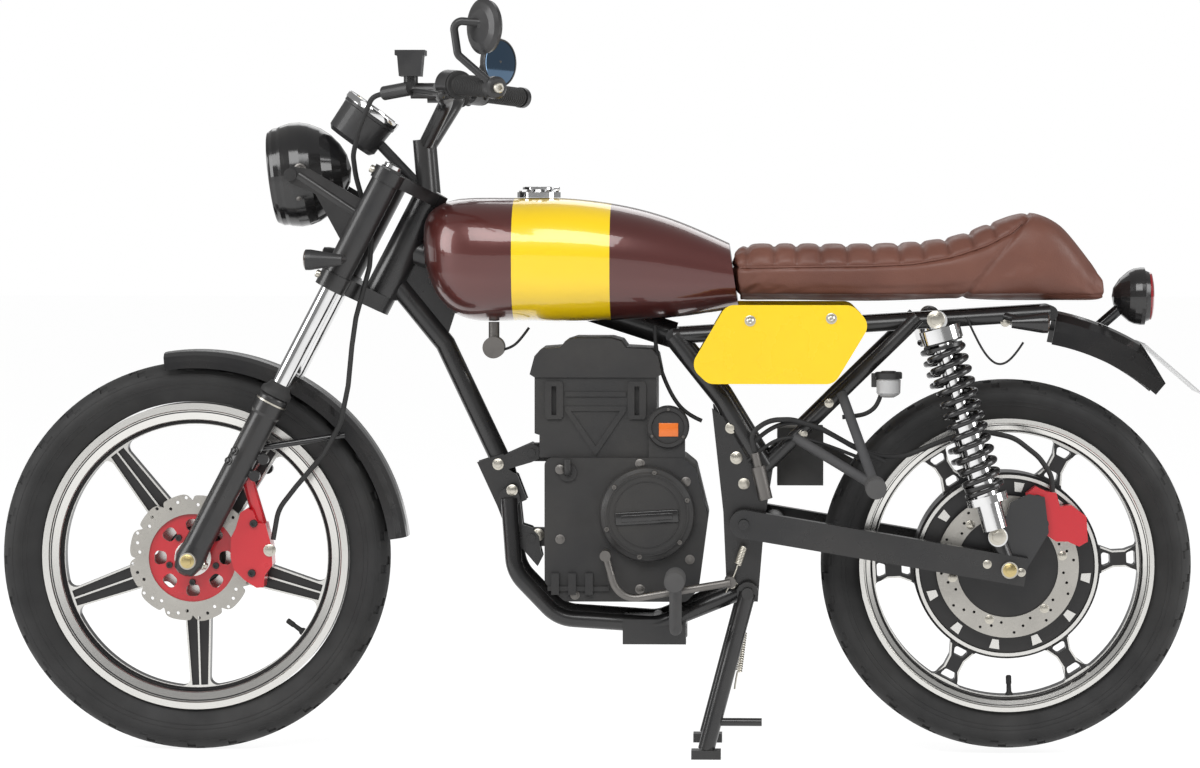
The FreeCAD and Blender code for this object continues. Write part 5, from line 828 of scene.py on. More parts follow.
class CAFE_OT_hubs(bpy.types.Operator):
    """Adds the hub ring, the bolts of the discs and the tyre valves"""

    bl_idname = "cafe.hubs"
    bl_label = "Hubs"

    def execute(self, context):
        bm = bmesh.new()
        for way in ring_of(5, 0.3):
            place = carried_at(FRONT_HUB + way * CARRIER_SCREW_OUT, FRONT_CARRIERS)
            socket_screw(bm, place, LEFT, CARRIER_SCREW)
        piece("carrier_screws", bm, "front_wheel", "fork black", "carrier_red")
        inner = carried_at(FRONT_HUB + AHEAD * HUB_RING_OUT, FRONT_CARRIERS).y
        spun_piece("hub_ring", [(inner + along, out) for along, out in HUB_RING_LINE], FRONT_HUB, LEFT, 48,
                   "front_wheel", "machined silver", "disc_steel")
        bm = bmesh.new()
        for way in ring_of(6, 0.2):
            place = carried_at(REAR_HUB + way * REAR_DISC_BOLT_OUT, REAR_CARRIERS)
            hex_bolt(bm, place, LEFT, REAR_DISC_BOLT)
        piece("rear_disc_bolts", bm, "rear_wheel", "zinc", "disc_steel")
        for body, hub, out, x, y in VALVES:
            way = seen_at(x, y, 0) - hub
            way.y = 0
            way.normalize()
            spun_piece(f"{body}_valve", VALVE_LINE, hub + way * out, -way, 20, body, "rubber",
                       f"{body}_paint")
        return {"FINISHED"}


# Seat: the ribs' columns in the photograph, and the seams' points there

RIB_COLUMNS = (747, 774, 796, 820, 846, 872, 898, 921, 946, 972, 997)
RIB_ROW = 250
RIB_SIDE = 0.03
ABOVE_SEAT = 1.0
SEAM_PLACES = ((735, 268), (800, 267), (869, 266), (912, 264), (951, 257), (985, 246), (1012, 232),
               (1026, 218))
HUMP_SEAM = ((1026, 218), (963, 300))
SEAT_SIDE = 0.1
SEAM_POINTS = [seen_at(*place, SEAT_SIDE) for place in SEAM_PLACES]
PIPING_COLUMNS = range(740, 1026, 8)
PIPING_ROW = 260
WELT_RADIUS = 0.0019
WELT_LIFT = 0.0006

# How deep and how wide each line is pressed into the leather

RIB_PRESS = (0.0042, 0.0045)
SIDE_SEAM_PRESS = (0.0030, 0.004)
HUMP_SEAM_PRESS = (0.0034, 0.004)
BASE_SEAM_PRESS = (0.002, 0.003)
PAD_SWELL = 0.0018

# The ribs lean back above a height, and fully so only behind a stretch; they fade in above the
# side seam and end ahead of the hump's seam

LEAN_HEIGHT = 0.79
LEAN_SLOPE = 0.35
LEAN_STRETCH = (0.45, 0.65)
RIB_FADE = (-0.004, 0.01)
SWELL_FADE = (0, 0.02)
RIBS_END_AHEAD = 0.01
SIDE_SEAM_PAST = 0.02
HUMP_SEAM_ABOVE = 0.01
HUMP_START = -0.5

# The pad: how far its skin lies inside the solid, how high its held base is, and how it swells

SKIN_INSET = 0.003
BASE_HEIGHT = 0.012
VOXEL = 0.006
SWELL_LIMIT = 0.006
SWELL_FRAMES = 20
SWELL_PRESSURE = 4


def share_between(value, low, high):
    return min(1, max(0, (value - low) / (high - low)))


def pressed_line(press, away):
    """How deep a pressed line is at a distance from its middle."""
    depth, width = press
    return depth * math.exp(-(away / width) ** 2)


def seam_height(x):
    """How high the seam along the seat's side lies at a place along the seat, and above the whole
    seat behind the seam's end."""
    if x > SEAM_POINTS[0].x:
        return SEAM_POINTS[0].z
    for near, far in zip(SEAM_POINTS, SEAM_POINTS[1:]):
        if near.x >= x >= far.x:
            return near.z + (far.z - near.z) * (near.x - x) / (near.x - far.x)
    return ABOVE_SEAT


def moved(mesh, inward):
    """Moves each point of a mesh against its normal by what a function gives for its place."""
    places = [vert.co.copy() for vert in mesh.vertices]
    normals = [vert.normal.copy() for vert in mesh.vertices]
    flat = [part for place, normal in zip(places, normals) for part in place - normal * inward(place)]
    mesh.vertices.foreach_set("co", flat)
    mesh.update()


def taken(obj):
    """The mesh of an object with its modifiers in it."""
    return bpy.data.meshes.new_from_object(obj.evaluated_get(bpy.context.evaluated_depsgraph_get()))


def swollen(pad, base):
    """Blows the seat up a little, as foam does under leather, and holds its base."""
    group = pad.vertex_groups.new(name="base")
    group.add([vert.index for vert in pad.data.vertices if vert.co.z < base + BASE_HEIGHT], 1.0, "REPLACE")
    start = [vert.co.copy() for vert in pad.data.vertices]
    cloth = pad.modifiers.new("swell", "CLOTH")
    cloth.settings.use_pressure = True
    cloth.settings.uniform_pressure_force = SWELL_PRESSURE
    cloth.settings.effector_weights.gravity = 0
    cloth.settings.vertex_group_mass = "base"
    cloth.settings.quality = 5
    cloth.point_cache.frame_start = 1
    cloth.point_cache.frame_end = SWELL_FRAMES
    scene = bpy.context.scene
    for number in range(1, SWELL_FRAMES + 1):
        scene.frame_set(number)
    result = taken(pad)
    scene.frame_set(1)
    pad.modifiers.clear()
    for before, vert in zip(start, result.vertices):
        move = vert.co - before
        if move.length > SWELL_LIMIT:
            vert.co = before + move * (SWELL_LIMIT / move.length)
    return result


def ribs_and_seams():
    """Gives the function that says how deep the leather is pressed in at a place."""
    ribs = [seen_at(column, RIB_ROW, RIB_SIDE).x for column in RIB_COLUMNS]
    top, foot = (seen_at(*place, SEAT_SIDE) for place in HUMP_SEAM)
    seam = (foot - top).normalized()
    across = Vector((-seam.z, 0, seam.x))
    base = low_corner("seat").z + BASE_HEIGHT

    def pressed(place):
        depth = pressed_line(BASE_SEAM_PRESS, place.z - base)
        above = place.z - seam_height(place.x)
        if above > RIB_FADE[0] and place.x > top.x + RIBS_END_AHEAD:
            lean = (place.z - LEAN_HEIGHT) * LEAN_SLOPE * share_between(-place.x, *LEAN_STRETCH)
            for rib in ribs:
                depth += pressed_line(RIB_PRESS, place.x - rib - lean) * share_between(above, *RIB_FADE)
            for near, far in zip(ribs, ribs[1:]):
                if near > place.x - lean > far:
                    swell = math.sin(math.pi * (near - place.x + lean) / (near - far))
                    depth -= PAD_SWELL * swell * share_between(above, *SWELL_FADE)
        if place.x > top.x - SIDE_SEAM_PAST:
            depth += pressed_line(SIDE_SEAM_PRESS, above)
        offset = place - Vector((top.x, place.y, top.z))
        if offset.dot(seam) > -HUMP_SEAM_ABOVE and place.x < HUMP_START:
            depth += pressed_line(HUMP_SEAM_PRESS, offset.dot(across))
        return depth

    return pressed


class CAFE_OT_seat(bpy.types.Operator):
    """Makes the ribbed leather seat with its piping and seams"""

    bl_idname = "cafe.seat"
    bl_label = "Seat"

    def execute(self, context):
        bm = bmesh.new()
        bm.from_mesh(frame["nodes"]["seat"].data)
        bmesh.ops.remove_doubles(bm, verts=bm.verts, dist=0.00002)
        bmesh.ops.recalc_face_normals(bm, faces=bm.faces)
        bm.normal_update()
        mesh = bpy.data.meshes.new("seat_pad")
        bm.to_mesh(mesh)
        bm.free()
        pad = bpy.data.objects.new("seat_pad", mesh)
        context.scene.collection.objects.link(pad)
        remesh = pad.modifiers.new("even", "REMESH")
        remesh.mode = "VOXEL"
        remesh.voxel_size = VOXEL
        relaxed = pad.modifiers.new("relax", "SMOOTH")
        relaxed.iterations = 6
        relaxed.factor = 0.5
        pad.data = taken(pad)
        pad.modifiers.clear()
        moved(pad.data, lambda place: SKIN_INSET)
        pad.data = swollen(pad, low_corner("seat").z)
        finer = pad.modifiers.new("finer", "SUBSURF")
        finer.levels = 1
        finer.render_levels = 1
        pad.data = taken(pad)
        pad.modifiers.clear()
        moved(pad.data, ribs_and_seams())
        pad.data.shade_smooth()
        pad.data.materials.clear()
        pad.data.materials.append(finish_of("seat leather"))
        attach(pad, "chassis")
        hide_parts("seat")
        self.piping(pad)
        return {"FINISHED"}

    def piping(self, pad):
        """Lays a welt in the seam along each side."""
        tree = BVHTree.FromObject(pad, bpy.context.evaluated_depsgraph_get())
        bm = bmesh.new()
        for side in SIDES:
            points = []
            for column in PIPING_COLUMNS:
                place = seen_at(column, PIPING_ROW, SEAT_SIDE)
                start = Vector((place.x, CLEAR_OF_ALL * side, seam_height(place.x)))
                hit = tree.ray_cast(start, LEFT * -side)
                if hit[0] is not None:
                    points.append(hit[0] + hit[1] * WELT_LIFT)
            along_path(bm, points, WELT_RADIUS, 8)
        piece("seat_piping", bm, "chassis", "seat leather", "seat_leather", 60)


# Tank and side panels

CAP_LINE = ((-0.003, 0.0), (-0.003, 0.0255), (0.0002, 0.0255), (0.0012, 0.0243), (0.0012, 0.0135),
            (0.0002, 0.0125), (0.0002, 0))
CAP_SCREW_OUT = 0.029
CAP_SCREW_RADIUS = 0.0022
HINGE_SIZE = (0.013, 0.016, 0.006)
HINGE_BACK = 0.026
KEY_COVER_SIZE = (0.010, 0.003, 0.0018)
PANEL_SCREWS = ((750, 321), (831, 318.6))
PANEL_SCREW_RADIUS = 0.0068


class CAFE_OT_tank(bpy.types.Operator):
    """Adds the filler cap's hinge and key cover and the side panels' screws"""

    bl_idname = "cafe.tank"
    bl_label = "Tank and Panels"

    def execute(self, context):
        along = middle("tank_cap").x
        top = high_corner("tank_cap").z
        bm = bmesh.new()
        lathe(bm, CAP_LINE, (along, 0, top - 0.0012), FACE_UP, 48)
        block(bm, HINGE_SIZE, (along - HINGE_BACK, 0, top - HINGE_SIZE[2] / 2), bevel=0.0012)
        block(bm, KEY_COVER_SIZE, (along, 0, top - 0.0006), bevel=0.0005, turn=0.6)
        piece("cap_cover", bm, "chassis", "chrome", "cap_chrome")
        bm = bmesh.new()
        for way in ring_of(6, axis="Z"):
            start = Vector((along, 0, 1.0)) + way * CAP_SCREW_OUT
            socket_screw(bm, seat_of("tank_cap", start, -FACE_UP)[0], FACE_UP, CAP_SCREW_RADIUS)
        piece("cap_screws", bm, "chassis", "worn steel", "cap_chrome")
        bm = bmesh.new()
        for x, y in PANEL_SCREWS:
            place = carried(x, y, ["side_panels"])
            for side in SIDES:
                pan_screw(bm, sided(place, side), LEFT * side, PANEL_SCREW_RADIUS)
        piece("panel_screws", bm, "chassis", "zinc", "bolt_zinc")
        return {"FINISHED"}


# Head, lamp and bars

LAMP = Vector((0.476, 0, 0.907))
LAMP_AHEAD = Matrix.Rotation(math.radians(7), 3, "Y") @ AHEAD
LAMP_DEPTH = 0.124
LAMP_RADIUS = 0.082

# The lamp's rim from its front face and its edge, and its insides from its middle, along and out

LAMP_RIM_LINE = ((-0.004, -0.0005), (0.001, -0.0005), (0.0042, -0.0022), (0.0048, -0.0042),
                 (0.0028, -0.0062), (0.0012, -0.0060), (0.0012, -0.003), (-0.004, -0.0025),
                 (-0.004, -0.0005))
REFLECTOR_LINE = ((-0.045, 0.0), (-0.045, 0.012), (-0.036, 0.026), (-0.020, 0.044), (-0.002, 0.056),
                  (0.018, 0.0645), (0.0255, 0.0665), (0.0265, 0.0685), (0.0225, 0.0685), (0.016, 0.066),
                  (-0.004, 0.058), (-0.022, 0.046), (-0.038, 0.028), (-0.047, 0.013), (-0.047, 0))
BULB_LINE = ((-0.046, 0), (-0.046, 0.009), (-0.030, 0.009), (-0.028, 0.007), (-0.012, 0.007),
             (-0.008, 0.0062), (-0.0055, 0.003), (-0.005, 0))
LAMP_SCREWS = ((299.7, 169.7, 0.0075), (298, 199, 0.0032))


class CAFE_OT_headlight(bpy.types.Operator):
    """Adds the lamp's rim, its reflector and bulb, and its screws"""

    bl_idname = "cafe.headlight"
    bl_label = "Headlight"

    def execute(self, context):
        front = LAMP_DEPTH * 0.26
        edge = LAMP_RADIUS * 0.90
        spun_piece("lamp_rim", [(front + along, edge + out) for along, out in LAMP_RIM_LINE], LAMP,
                   LAMP_AHEAD, 72, "steering", "gloss black", "lamp_black")
        spun_piece("lamp_reflector", REFLECTOR_LINE, LAMP, LAMP_AHEAD, 72, "steering", "chrome",
                   "lamp_black")
        spun_piece("lamp_bulb", BULB_LINE, LAMP, LAMP_AHEAD, 32, "steering", "lamp glass", "lamp_glass")
        bm = bmesh.new()
        for side in SIDES:
            for x, y, radius in LAMP_SCREWS:
                start = seen_at(x, y, FIRST_DEPTH)
                start.y = CLEAR_OF_ALL * side
                pan_screw(bm, *seat_of("headlight_shell", start, LEFT * -side), radius)
        piece("lamp_screws", bm, "steering", "worn steel", "bolt_zinc")
        return {"FINISHED"}


# The instrument's middle and its way up, and its lines along that way and out

GAUGE = Vector((0.372, 0, 0.985))
GAUGE_UP = Matrix.Rotation(math.radians(-36), 3, "Y") @ FACE_UP
DIAL_HEIGHT = 0.0292
DIAL_LINE = ((0, 0), (0, 0.0425), (0.0006, 0.0425), (0.0006, 0))
GLASS_LINE = ((0.0335, 0.0), (0.0332, 0.018), (0.0322, 0.034), (0.0312, 0.0428), (0.0304, 0.0428),
              (0.0312, 0.034), (0.0322, 0.018), (0.0325, 0))
DIAL_RIM_LINE = ((0.024, 0.0462), (0.0245, 0.0474), (0.0325, 0.0474), (0.0342, 0.0464), (0.0346, 0.0446),
                 (0.0336, 0.0434), (0.0322, 0.0432), (0.0322, 0.0458), (0.024, 0.0462))
MARK_COUNT = 25
MARK_SWEEP = math.radians(240)
MARKS_TO_LONG = 4
MARK_OUT = 0.0365
MARK_WIDTH = 0.0009
MARK_HEIGHT = 0.0005
MARK_LIFT = 0.0008
LONG_MARK = 0.0065
SHORT_MARK = 0.0035
NEEDLE_TURN = -2.1
NEEDLE_CAP_LINE = ((0.0, 0), (0.0, 0.0042), (0.0030, 0.0038), (0.0035, 0))


class CAFE_OT_gauge(bpy.types.Operator):
    """Adds the dial, its marks and needle, its glass and its bright rim"""

    bl_idname = "cafe.gauge"
    bl_label = "Instrument"

    def execute(self, context):
        spun_piece("dial", DIAL_LINE, GAUGE + GAUGE_UP * DIAL_HEIGHT, GAUGE_UP, 64, "steering", "dial face",
                   "gauge_black")
        bm = bmesh.new()
        for number in range(MARK_COUNT):
            angle = MARK_SWEEP * (number / (MARK_COUNT - 1) - 0.5)
            long = LONG_MARK if number % MARKS_TO_LONG == 0 else SHORT_MARK
            before = set(bm.verts)
            bmesh.ops.create_cube(bm, size=1)
            made = new_verts(bm, before)
            bmesh.ops.scale(bm, vec=(long, MARK_WIDTH, MARK_HEIGHT), verts=made)
            bmesh.ops.translate(bm, vec=(MARK_OUT - long / 2, 0, 0), verts=made)
            bmesh.ops.rotate(bm, cent=(0, 0, 0), matrix=Matrix.Rotation(angle, 3, "Z"), verts=made)
            set_down(bm, before, GAUGE + GAUGE_UP * (DIAL_HEIGHT + MARK_LIFT), GAUGE_UP)
        piece("dial_marks", bm, "steering", "plate grey", "gauge_black")
        bm = bmesh.new()
        before = set(bm.verts)
        needle = bmesh.ops.create_cone(bm, cap_ends=True, segments=8, radius1=0.0014, radius2=0.0004,
                                       depth=0.034, matrix=Matrix.Translation((0.010, 0, 0.0018))
                                       @ Matrix.Rotation(math.pi / 2, 4, "Y"))
        bmesh.ops.rotate(bm, cent=(0, 0, 0), matrix=Matrix.Rotation(NEEDLE_TURN, 3, "Z"),
                         verts=needle["verts"])
        lathe(bm, NEEDLE_CAP_LINE, (0, 0, 0), FACE_UP, 20)
        set_down(bm, before, GAUGE + GAUGE_UP * DIAL_HEIGHT, GAUGE_UP)
        piece("dial_needle", bm, "steering", "brake red", "gauge_black")
        spun_piece("dial_glass", GLASS_LINE, GAUGE, GAUGE_UP, 64, "steering", "lamp glass", "lamp_glass")
        spun_piece("dial_rim", DIAL_RIM_LINE, GAUGE, GAUGE_UP, 64, "steering", "chrome", "cap_chrome")
        return {"FINISHED"}


# The left bar's tip and elbow, and the grips' lines from the tip inwards

BAR_TIP = Vector((0.143, 0.360, 1.036))
BAR_ELBOW = Vector((0.228, 0.214, 1.045))
PERCH_FRONT = Vector((0.281, 0.172, 1.035))
GRIP_START = [(0.0002, 0.0114), (0.0002, 0.0142), (0.003, 0.0155)]
GRIP_RIBS = 18
GRIP_RIB_PITCH = 0.0057
GRIP_RIB_LINE = ((0, 0.0160), (0.0036, 0.0160), (0.0042, 0.0150), (0.0052, 0.0150))
GRIP_FLANGE = [(0.1105, 0.0160), (0.1115, 0.0212), (0.1130, 0.0216), (0.1165, 0.0216),
               (0.1180, 0.0205), (0.1180, 0.0114), (0.0002, 0.0114)]
END_SCREW_OUT = 0.0140
END_SCREW_RADIUS = 0.0078
PERCH_BOLT_RISE = 0.0115
PERCH_BOLT_RADIUS = 0.0045
SWITCH_ALONG = 0.136
SWITCH_OUT = 0.0225
SWITCH_HEIGHT = 0.006
SWITCHES = ((-0.008, 0.6, 0.007), (0.006, 0.0, 0.006))
MIRROR_GLASS_LINE = ((0.0062, 0), (0.0062, 0.0365), (0.0074, 0.0365), (0.0078, 0.0350), (0.0078, 0))
MIRROR_RIM_LINE = ((0.0060, 0.0398), (0.0078, 0.0396), (0.0086, 0.0386), (0.0082, 0.0370),
                   (0.0062, 0.0368), (0.0060, 0.0398))

# Where each mirror's head stands above its clamp, and how far it is folded

MIRROR_CLAMP_ALONG = 0.007
MIRROR_AHEAD = 0.042 * 0.45
MIRROR_RISE = {1: 0.091, -1: 0.068}
MIRROR_FOLD = {1: 0, -1: math.radians(20)}


class CAFE_OT_bars(bpy.types.Operator):
    """Adds the ribbed grips, the switches, the mirrors' glass and the bars' screws"""

    bl_idname = "cafe.bars"
    bl_label = "Bars and Mirrors"

    def execute(self, context):
        grips, glass, silver, switches = (bmesh.new() for kind in range(4))
        ribs = [(0.005 + number * GRIP_RIB_PITCH + along, out) for number in range(GRIP_RIBS)
                for along, out in GRIP_RIB_LINE]
        for side in SIDES:
            tip = sided(BAR_TIP, side)
            inward = (sided(BAR_ELBOW, side) - tip).normalized()
            lathe(grips, GRIP_START + ribs + GRIP_FLANGE, tip, inward, 36)
            socket_screw(silver, tip - inward * END_SCREW_OUT, -inward, END_SCREW_RADIUS)
            up = inward.cross(AHEAD * -side).normalized()
            back = up.cross(inward).normalized() * (1 if up.cross(inward).x < 0 else -1)
            for along, lift, size in SWITCHES:
                way = (back + up * lift).normalized()
                place = tip + inward * (SWITCH_ALONG + along) + way * SWITCH_OUT
                block(switches, (size, size, SWITCH_HEIGHT), place, way, bevel=0.0012)
            facing = Vector((-1, -side * 0.8, 0)).normalized()
            stem = Vector((MIRROR_AHEAD, 0, MIRROR_RISE[side]))
            head = tip - inward * MIRROR_CLAMP_ALONG + Matrix.Rotation(MIRROR_FOLD[side], 3, "Y") @ stem
            lathe(glass, MIRROR_GLASS_LINE, head, facing, 56)
            lathe(switches, MIRROR_RIM_LINE, head, facing, 56)
            place = sided(PERCH_FRONT, side) + FACE_UP * PERCH_BOLT_RISE
            hex_bolt(silver, place, FACE_UP, PERCH_BOLT_RADIUS)
        made = piece("grip_rubbers", grips, "steering", "rubber", "grip_rubber", 50)
        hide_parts("grips")
        piece("mirror_glass", glass, "steering", "mirror glass", "mirror_black")
        piece("bar_screws", silver, "steering", "zinc", "bolt_zinc")
        piece("switch_buttons", switches, "steering", "plastic black", "control_black")
        return {"FINISHED"}


# Fork and front brake: heights along the fork from the axle, where rays for the bolts start, lines
# along and out, and bolts' places in the photograph

CAP_HEIGHT = 0.6832
SEAL_HEIGHT = 0.2925
COLLAR_HEIGHT = 0.276
YOKE_HEIGHTS = (0.4896, 0.6732)
YOKE_CLEAR = 0.12
PINCH_CLEAR = 0.08
PINCH_RISE = 0.002
CAP_NUT_LINE = ((-0.002, 0.0), (-0.002, 0.0185), (0.003, 0.0185), (0.0045, 0.017), (0.0045, 0.012),
                (0.0105, 0.0115), (0.0115, 0.010), (0.0115, 0))
SEAL_LINE = ((-0.003, 0.0146), (-0.003, 0.0246), (0.002, 0.0250), (0.006, 0.0240), (0.010, 0.0195),
             (0.016, 0.0168), (0.018, 0.0146), (-0.003, 0.0146))
COLLAR_LINE = ((0.0, 0.0238), (0.0, 0.0247), (0.0025, 0.0247), (0.0025, 0.0238), (0.0, 0.0238))
CALIPER_SCREWS = ((252, 525), (250, 575))
CALIPER_BOLT = (268, 552)
SLIDER_BOLTS = ((227, 462), (233, 452))

# Radii of the fork's screws and bolts

YOKE_SCREW_RADIUS = 0.0062
PINCH_BOLT_RADIUS = 0.0052
CALIPER_SCREW_RADIUS = 0.0062
CALIPER_BOLT_RADIUS = 0.0065
SLIDER_BOLT_RADIUS = 0.0050


class CAFE_OT_fork(bpy.types.Operator):
    """Adds the fork's caps, seals and clamp bolts and the brake's bolts"""

    bl_idname = "cafe.fork"
    bl_label = "Fork"

    def execute(self, context):
        silver, dark, rubbers = (bmesh.new() for kind in range(3))
        for side in SIDES:
            foot = Vector((FRONT_HUB.x, FORK_SPREAD * side, FRONT_HUB.z))
            lathe(dark, CAP_NUT_LINE, foot + HEAD_AXIS * CAP_HEIGHT, HEAD_AXIS, 6)
            lathe(rubbers, SEAL_LINE, foot + HEAD_AXIS * SEAL_HEIGHT, HEAD_AXIS, 40)
            lathe(silver, COLLAR_LINE, foot + HEAD_AXIS * COLLAR_HEIGHT, HEAD_AXIS, 40)
            for height in YOKE_HEIGHTS:
                start = foot + HEAD_AXIS * height + FORK_AHEAD * YOKE_CLEAR
                socket_screw(silver, *seat_of("fork_clamps", start, -FORK_AHEAD), YOKE_SCREW_RADIUS)
            place, normal = seat_of("fork_sliders", foot - FORK_AHEAD * PINCH_CLEAR, FORK_AHEAD)
            hex_bolt(silver, place + HEAD_AXIS * PINCH_RISE, normal, PINCH_BOLT_RADIUS)
        for x, y in CALIPER_SCREWS:
            socket_screw(dark, carried(x, y, ["front_caliper"]), LEFT, CALIPER_SCREW_RADIUS)
        hex_bolt(silver, carried(*CALIPER_BOLT, ["front_caliper"]), LEFT, CALIPER_BOLT_RADIUS)
        for x, y in SLIDER_BOLTS:
            place, normal = carried_facing(x, y, ["fork_sliders"])
            for side in SIDES:
                hex_bolt(dark, sided(place, side), sided(normal, side), SLIDER_BOLT_RADIUS)
        piece("fork_bolts", silver, "steering", "zinc", "bolt_zinc")
        piece("fork_caps", dark, "steering", "fork black", "fork_black")
        piece("fork_seals", rubbers, "steering", "rubber", "grip_rubber")
        return {"FINISHED"}


# Drive housing: the round cover's face, its bars and rings, and bolts' places in the photograph

COVER = Vector((-0.080, 0.116, 0.380))
COVER_BARS = (((0.098, 0.020, 0.0036), 0.0012, 0.0016), ((0.080, 0.011, 0.0030), 0.0030, 0.0012))
COVER_BAR_DROP = 0.004
COVER_BAR_TURN = 0.06
COVER_RINGS = ((0.0615, 0.0595), (0.052, 0.0505))
COVER_SCREW_OUT = 0.0665
COVER_SCREW_RADIUS = 0.0040
CASE_BOLT_RADIUS = 0.0050
PORT_SCREW_RADIUS = 0.0024
CASE_BOLTS = ((560, 470), (560, 540), (575, 596), (640, 590), (690, 560), (686, 482), (640, 464))
PORT_LABEL = (668.6, 430)
PORT_LABEL_SIZE = (0.030, 0.021, 0.0016)
PORT = Vector((-0.112, 0, 0.515))
PORT_SCREW_OUT = 0.028
HOUSING = ["drive_housing"]


class CAFE_OT_drive(bpy.types.Operator):
    """Adds the round cover's bar and screws, the charge port's label and the case bolts"""

    bl_idname = "cafe.drive"
    bl_label = "Drive Housing"

    def execute(self, context):
        gloss = bmesh.new()
        for size, lift, bevel in COVER_BARS:
            place = COVER + LEFT * lift - FACE_UP * COVER_BAR_DROP
            block(gloss, size, place, LEFT, COVER_BAR_TURN, bevel=bevel, segments=3)
        piece("cover_bar", gloss, "chassis", "gloss black", "engine_black")
        rims = bmesh.new()
        for near, far in COVER_RINGS:
            lathe(rims, [(-0.001, near), (0.0009, near - 0.0003), (0.0009, far + 0.0003), (-0.001, far),
                         (-0.001, near)], COVER, LEFT, 72)
        piece("cover_rings", rims, "chassis", "cast black", "engine_black")
        dark = bmesh.new()
        for way in ring_of(6, 0.35):
            place = carried_at(COVER + way * COVER_SCREW_OUT, HOUSING)
            socket_screw(dark, place, LEFT, COVER_SCREW_RADIUS)
        for x, y in CASE_BOLTS:
            bolt_through(dark, x, y, HOUSING, CASE_BOLT_RADIUS)
        piece("case_bolts", dark, "chassis", "worn steel", "bolt_zinc")
        place = carried(*PORT_LABEL, HOUSING)
        label = bmesh.new()
        block(label, PORT_LABEL_SIZE, place + LEFT * 0.0006, LEFT, bevel=0.0006)
        piece("port_label", label, "chassis", "label orange", "engine_black")
        port = bmesh.new()
        for way in ring_of(3, 0.5):
            place = carried_at(PORT + way * PORT_SCREW_OUT, HOUSING)
            socket_screw(port, place, LEFT, PORT_SCREW_RADIUS)
        piece("port_screws", port, "chassis", "worn steel", "bolt_zinc")
        return {"FINISHED"}


# Frame, swingarm and shocks: bolts' places in the photograph, and the bolts' radii

PLATE_BOLTS = ((731, 428, 0.0060), (736.5, 458, 0.0066), (744, 484, 0.0060), (498, 465, 0.0060),
               (512, 491, 0.0060), (538, 536, 0.0066), (829, 403, 0.0048), (803, 434, 0.0048))
ARM_BOLTS = ((987, 564), (1021, 572))
SHOCK_BOLTS = ((935, 319.6), (997.2, 536))
PEDAL_BOLT = (734, 586)
INDICATOR_BOLT = (1004, 322)
ARM_BOLT_RADIUS = 0.0045
SHOCK_BOLT_RADIUS = 0.0092
PEDAL_BOLT_RADIUS = 0.0044
INDICATOR_BOLT_RADIUS = 0.0050
AXLE_NUT_RADIUS = 0.0072
CHASSIS_SOLIDS = ["frame_rear", "frame_cradle", "frame_head", "drive_housing", "swingarm"]
AXLES = (("front_axle", FRONT_HUB, "steering"), ("rear_axle", REAR_HUB, "chassis"))


class CAFE_OT_fasteners(bpy.types.Operator):
    """Adds the bolts of the frame, the swingarm and the shocks and the axles' nuts"""

    bl_idname = "cafe.fasteners"
    bl_label = "Frame Bolts"

    def execute(self, context):
        silver = bmesh.new()
        for x, y, radius in PLATE_BOLTS:
            bolt_through(silver, x, y, CHASSIS_SOLIDS, radius)
        for x, y in ARM_BOLTS:
            bolt_through(silver, x, y, ["swingarm"], ARM_BOLT_RADIUS)
        for x, y in SHOCK_BOLTS:
            place = carried(x, y, ["shock_dampers", "frame_rear", "swingarm"])
            for side in SIDES:
                hex_bolt(silver, sided(place, side), LEFT * side, SHOCK_BOLT_RADIUS)
        place = carried(*PEDAL_BOLT, CHASSIS_SOLIDS + ["brake_pedal", "foot_pegs"])
        hex_bolt(silver, place, LEFT, PEDAL_BOLT_RADIUS)
        place = carried(*INDICATOR_BOLT, ["rear_lights", "frame_rear"])
        hex_bolt(silver, place, LEFT, INDICATOR_BOLT_RADIUS)
        piece("frame_bolts", silver, "chassis", "zinc", "bolt_zinc")
        for node, hub, body in AXLES:
            brass = bmesh.new()
            for side, corner in zip(SIDES, (high_corner(node), low_corner(node))):
                hex_bolt(brass, Vector((hub.x, corner.y, hub.z)), LEFT * side, AXLE_NUT_RADIUS)
            piece(f"{node}_nuts", brass, body, "brass", "bolt_zinc")
        return {"FINISHED"}


# Springs: body, finish, slot, distance to the left, the coil's ends, radius, wire and turns, and
# the rods that hold it, with their radius; places are the photograph's

SPRINGS = {
    "stand_spring": ("stand", "zinc", "frame_black", 0.088, ((743, 632), (738, 672)), (0.0062, 0.0014, 17),
                     (((747, 612), (746, 620), (743, 632)), ((738, 672), (736, 680), (735, 690))), 0.0015),
    "pedal_spring": ("chassis", "zinc", "bolt_zinc", 0.118, ((744, 547), (738, 565)), (0.0048, 0.0011, 12),
                     (((738, 565), (734, 578), (726, 593)),), 0.0012),
}
SHOCK_TOP = Vector((-0.527, 0.142, 0.683))
SHOCK_FOOT = Vector((-0.621, 0.142, 0.350))
SHOCK_ROD = 0.0125
SHOCK_RINGS = ((0.030, 0.0300, 0.006), (0.040, 0.0285, 0.005), (0.262, 0.0300, 0.006))


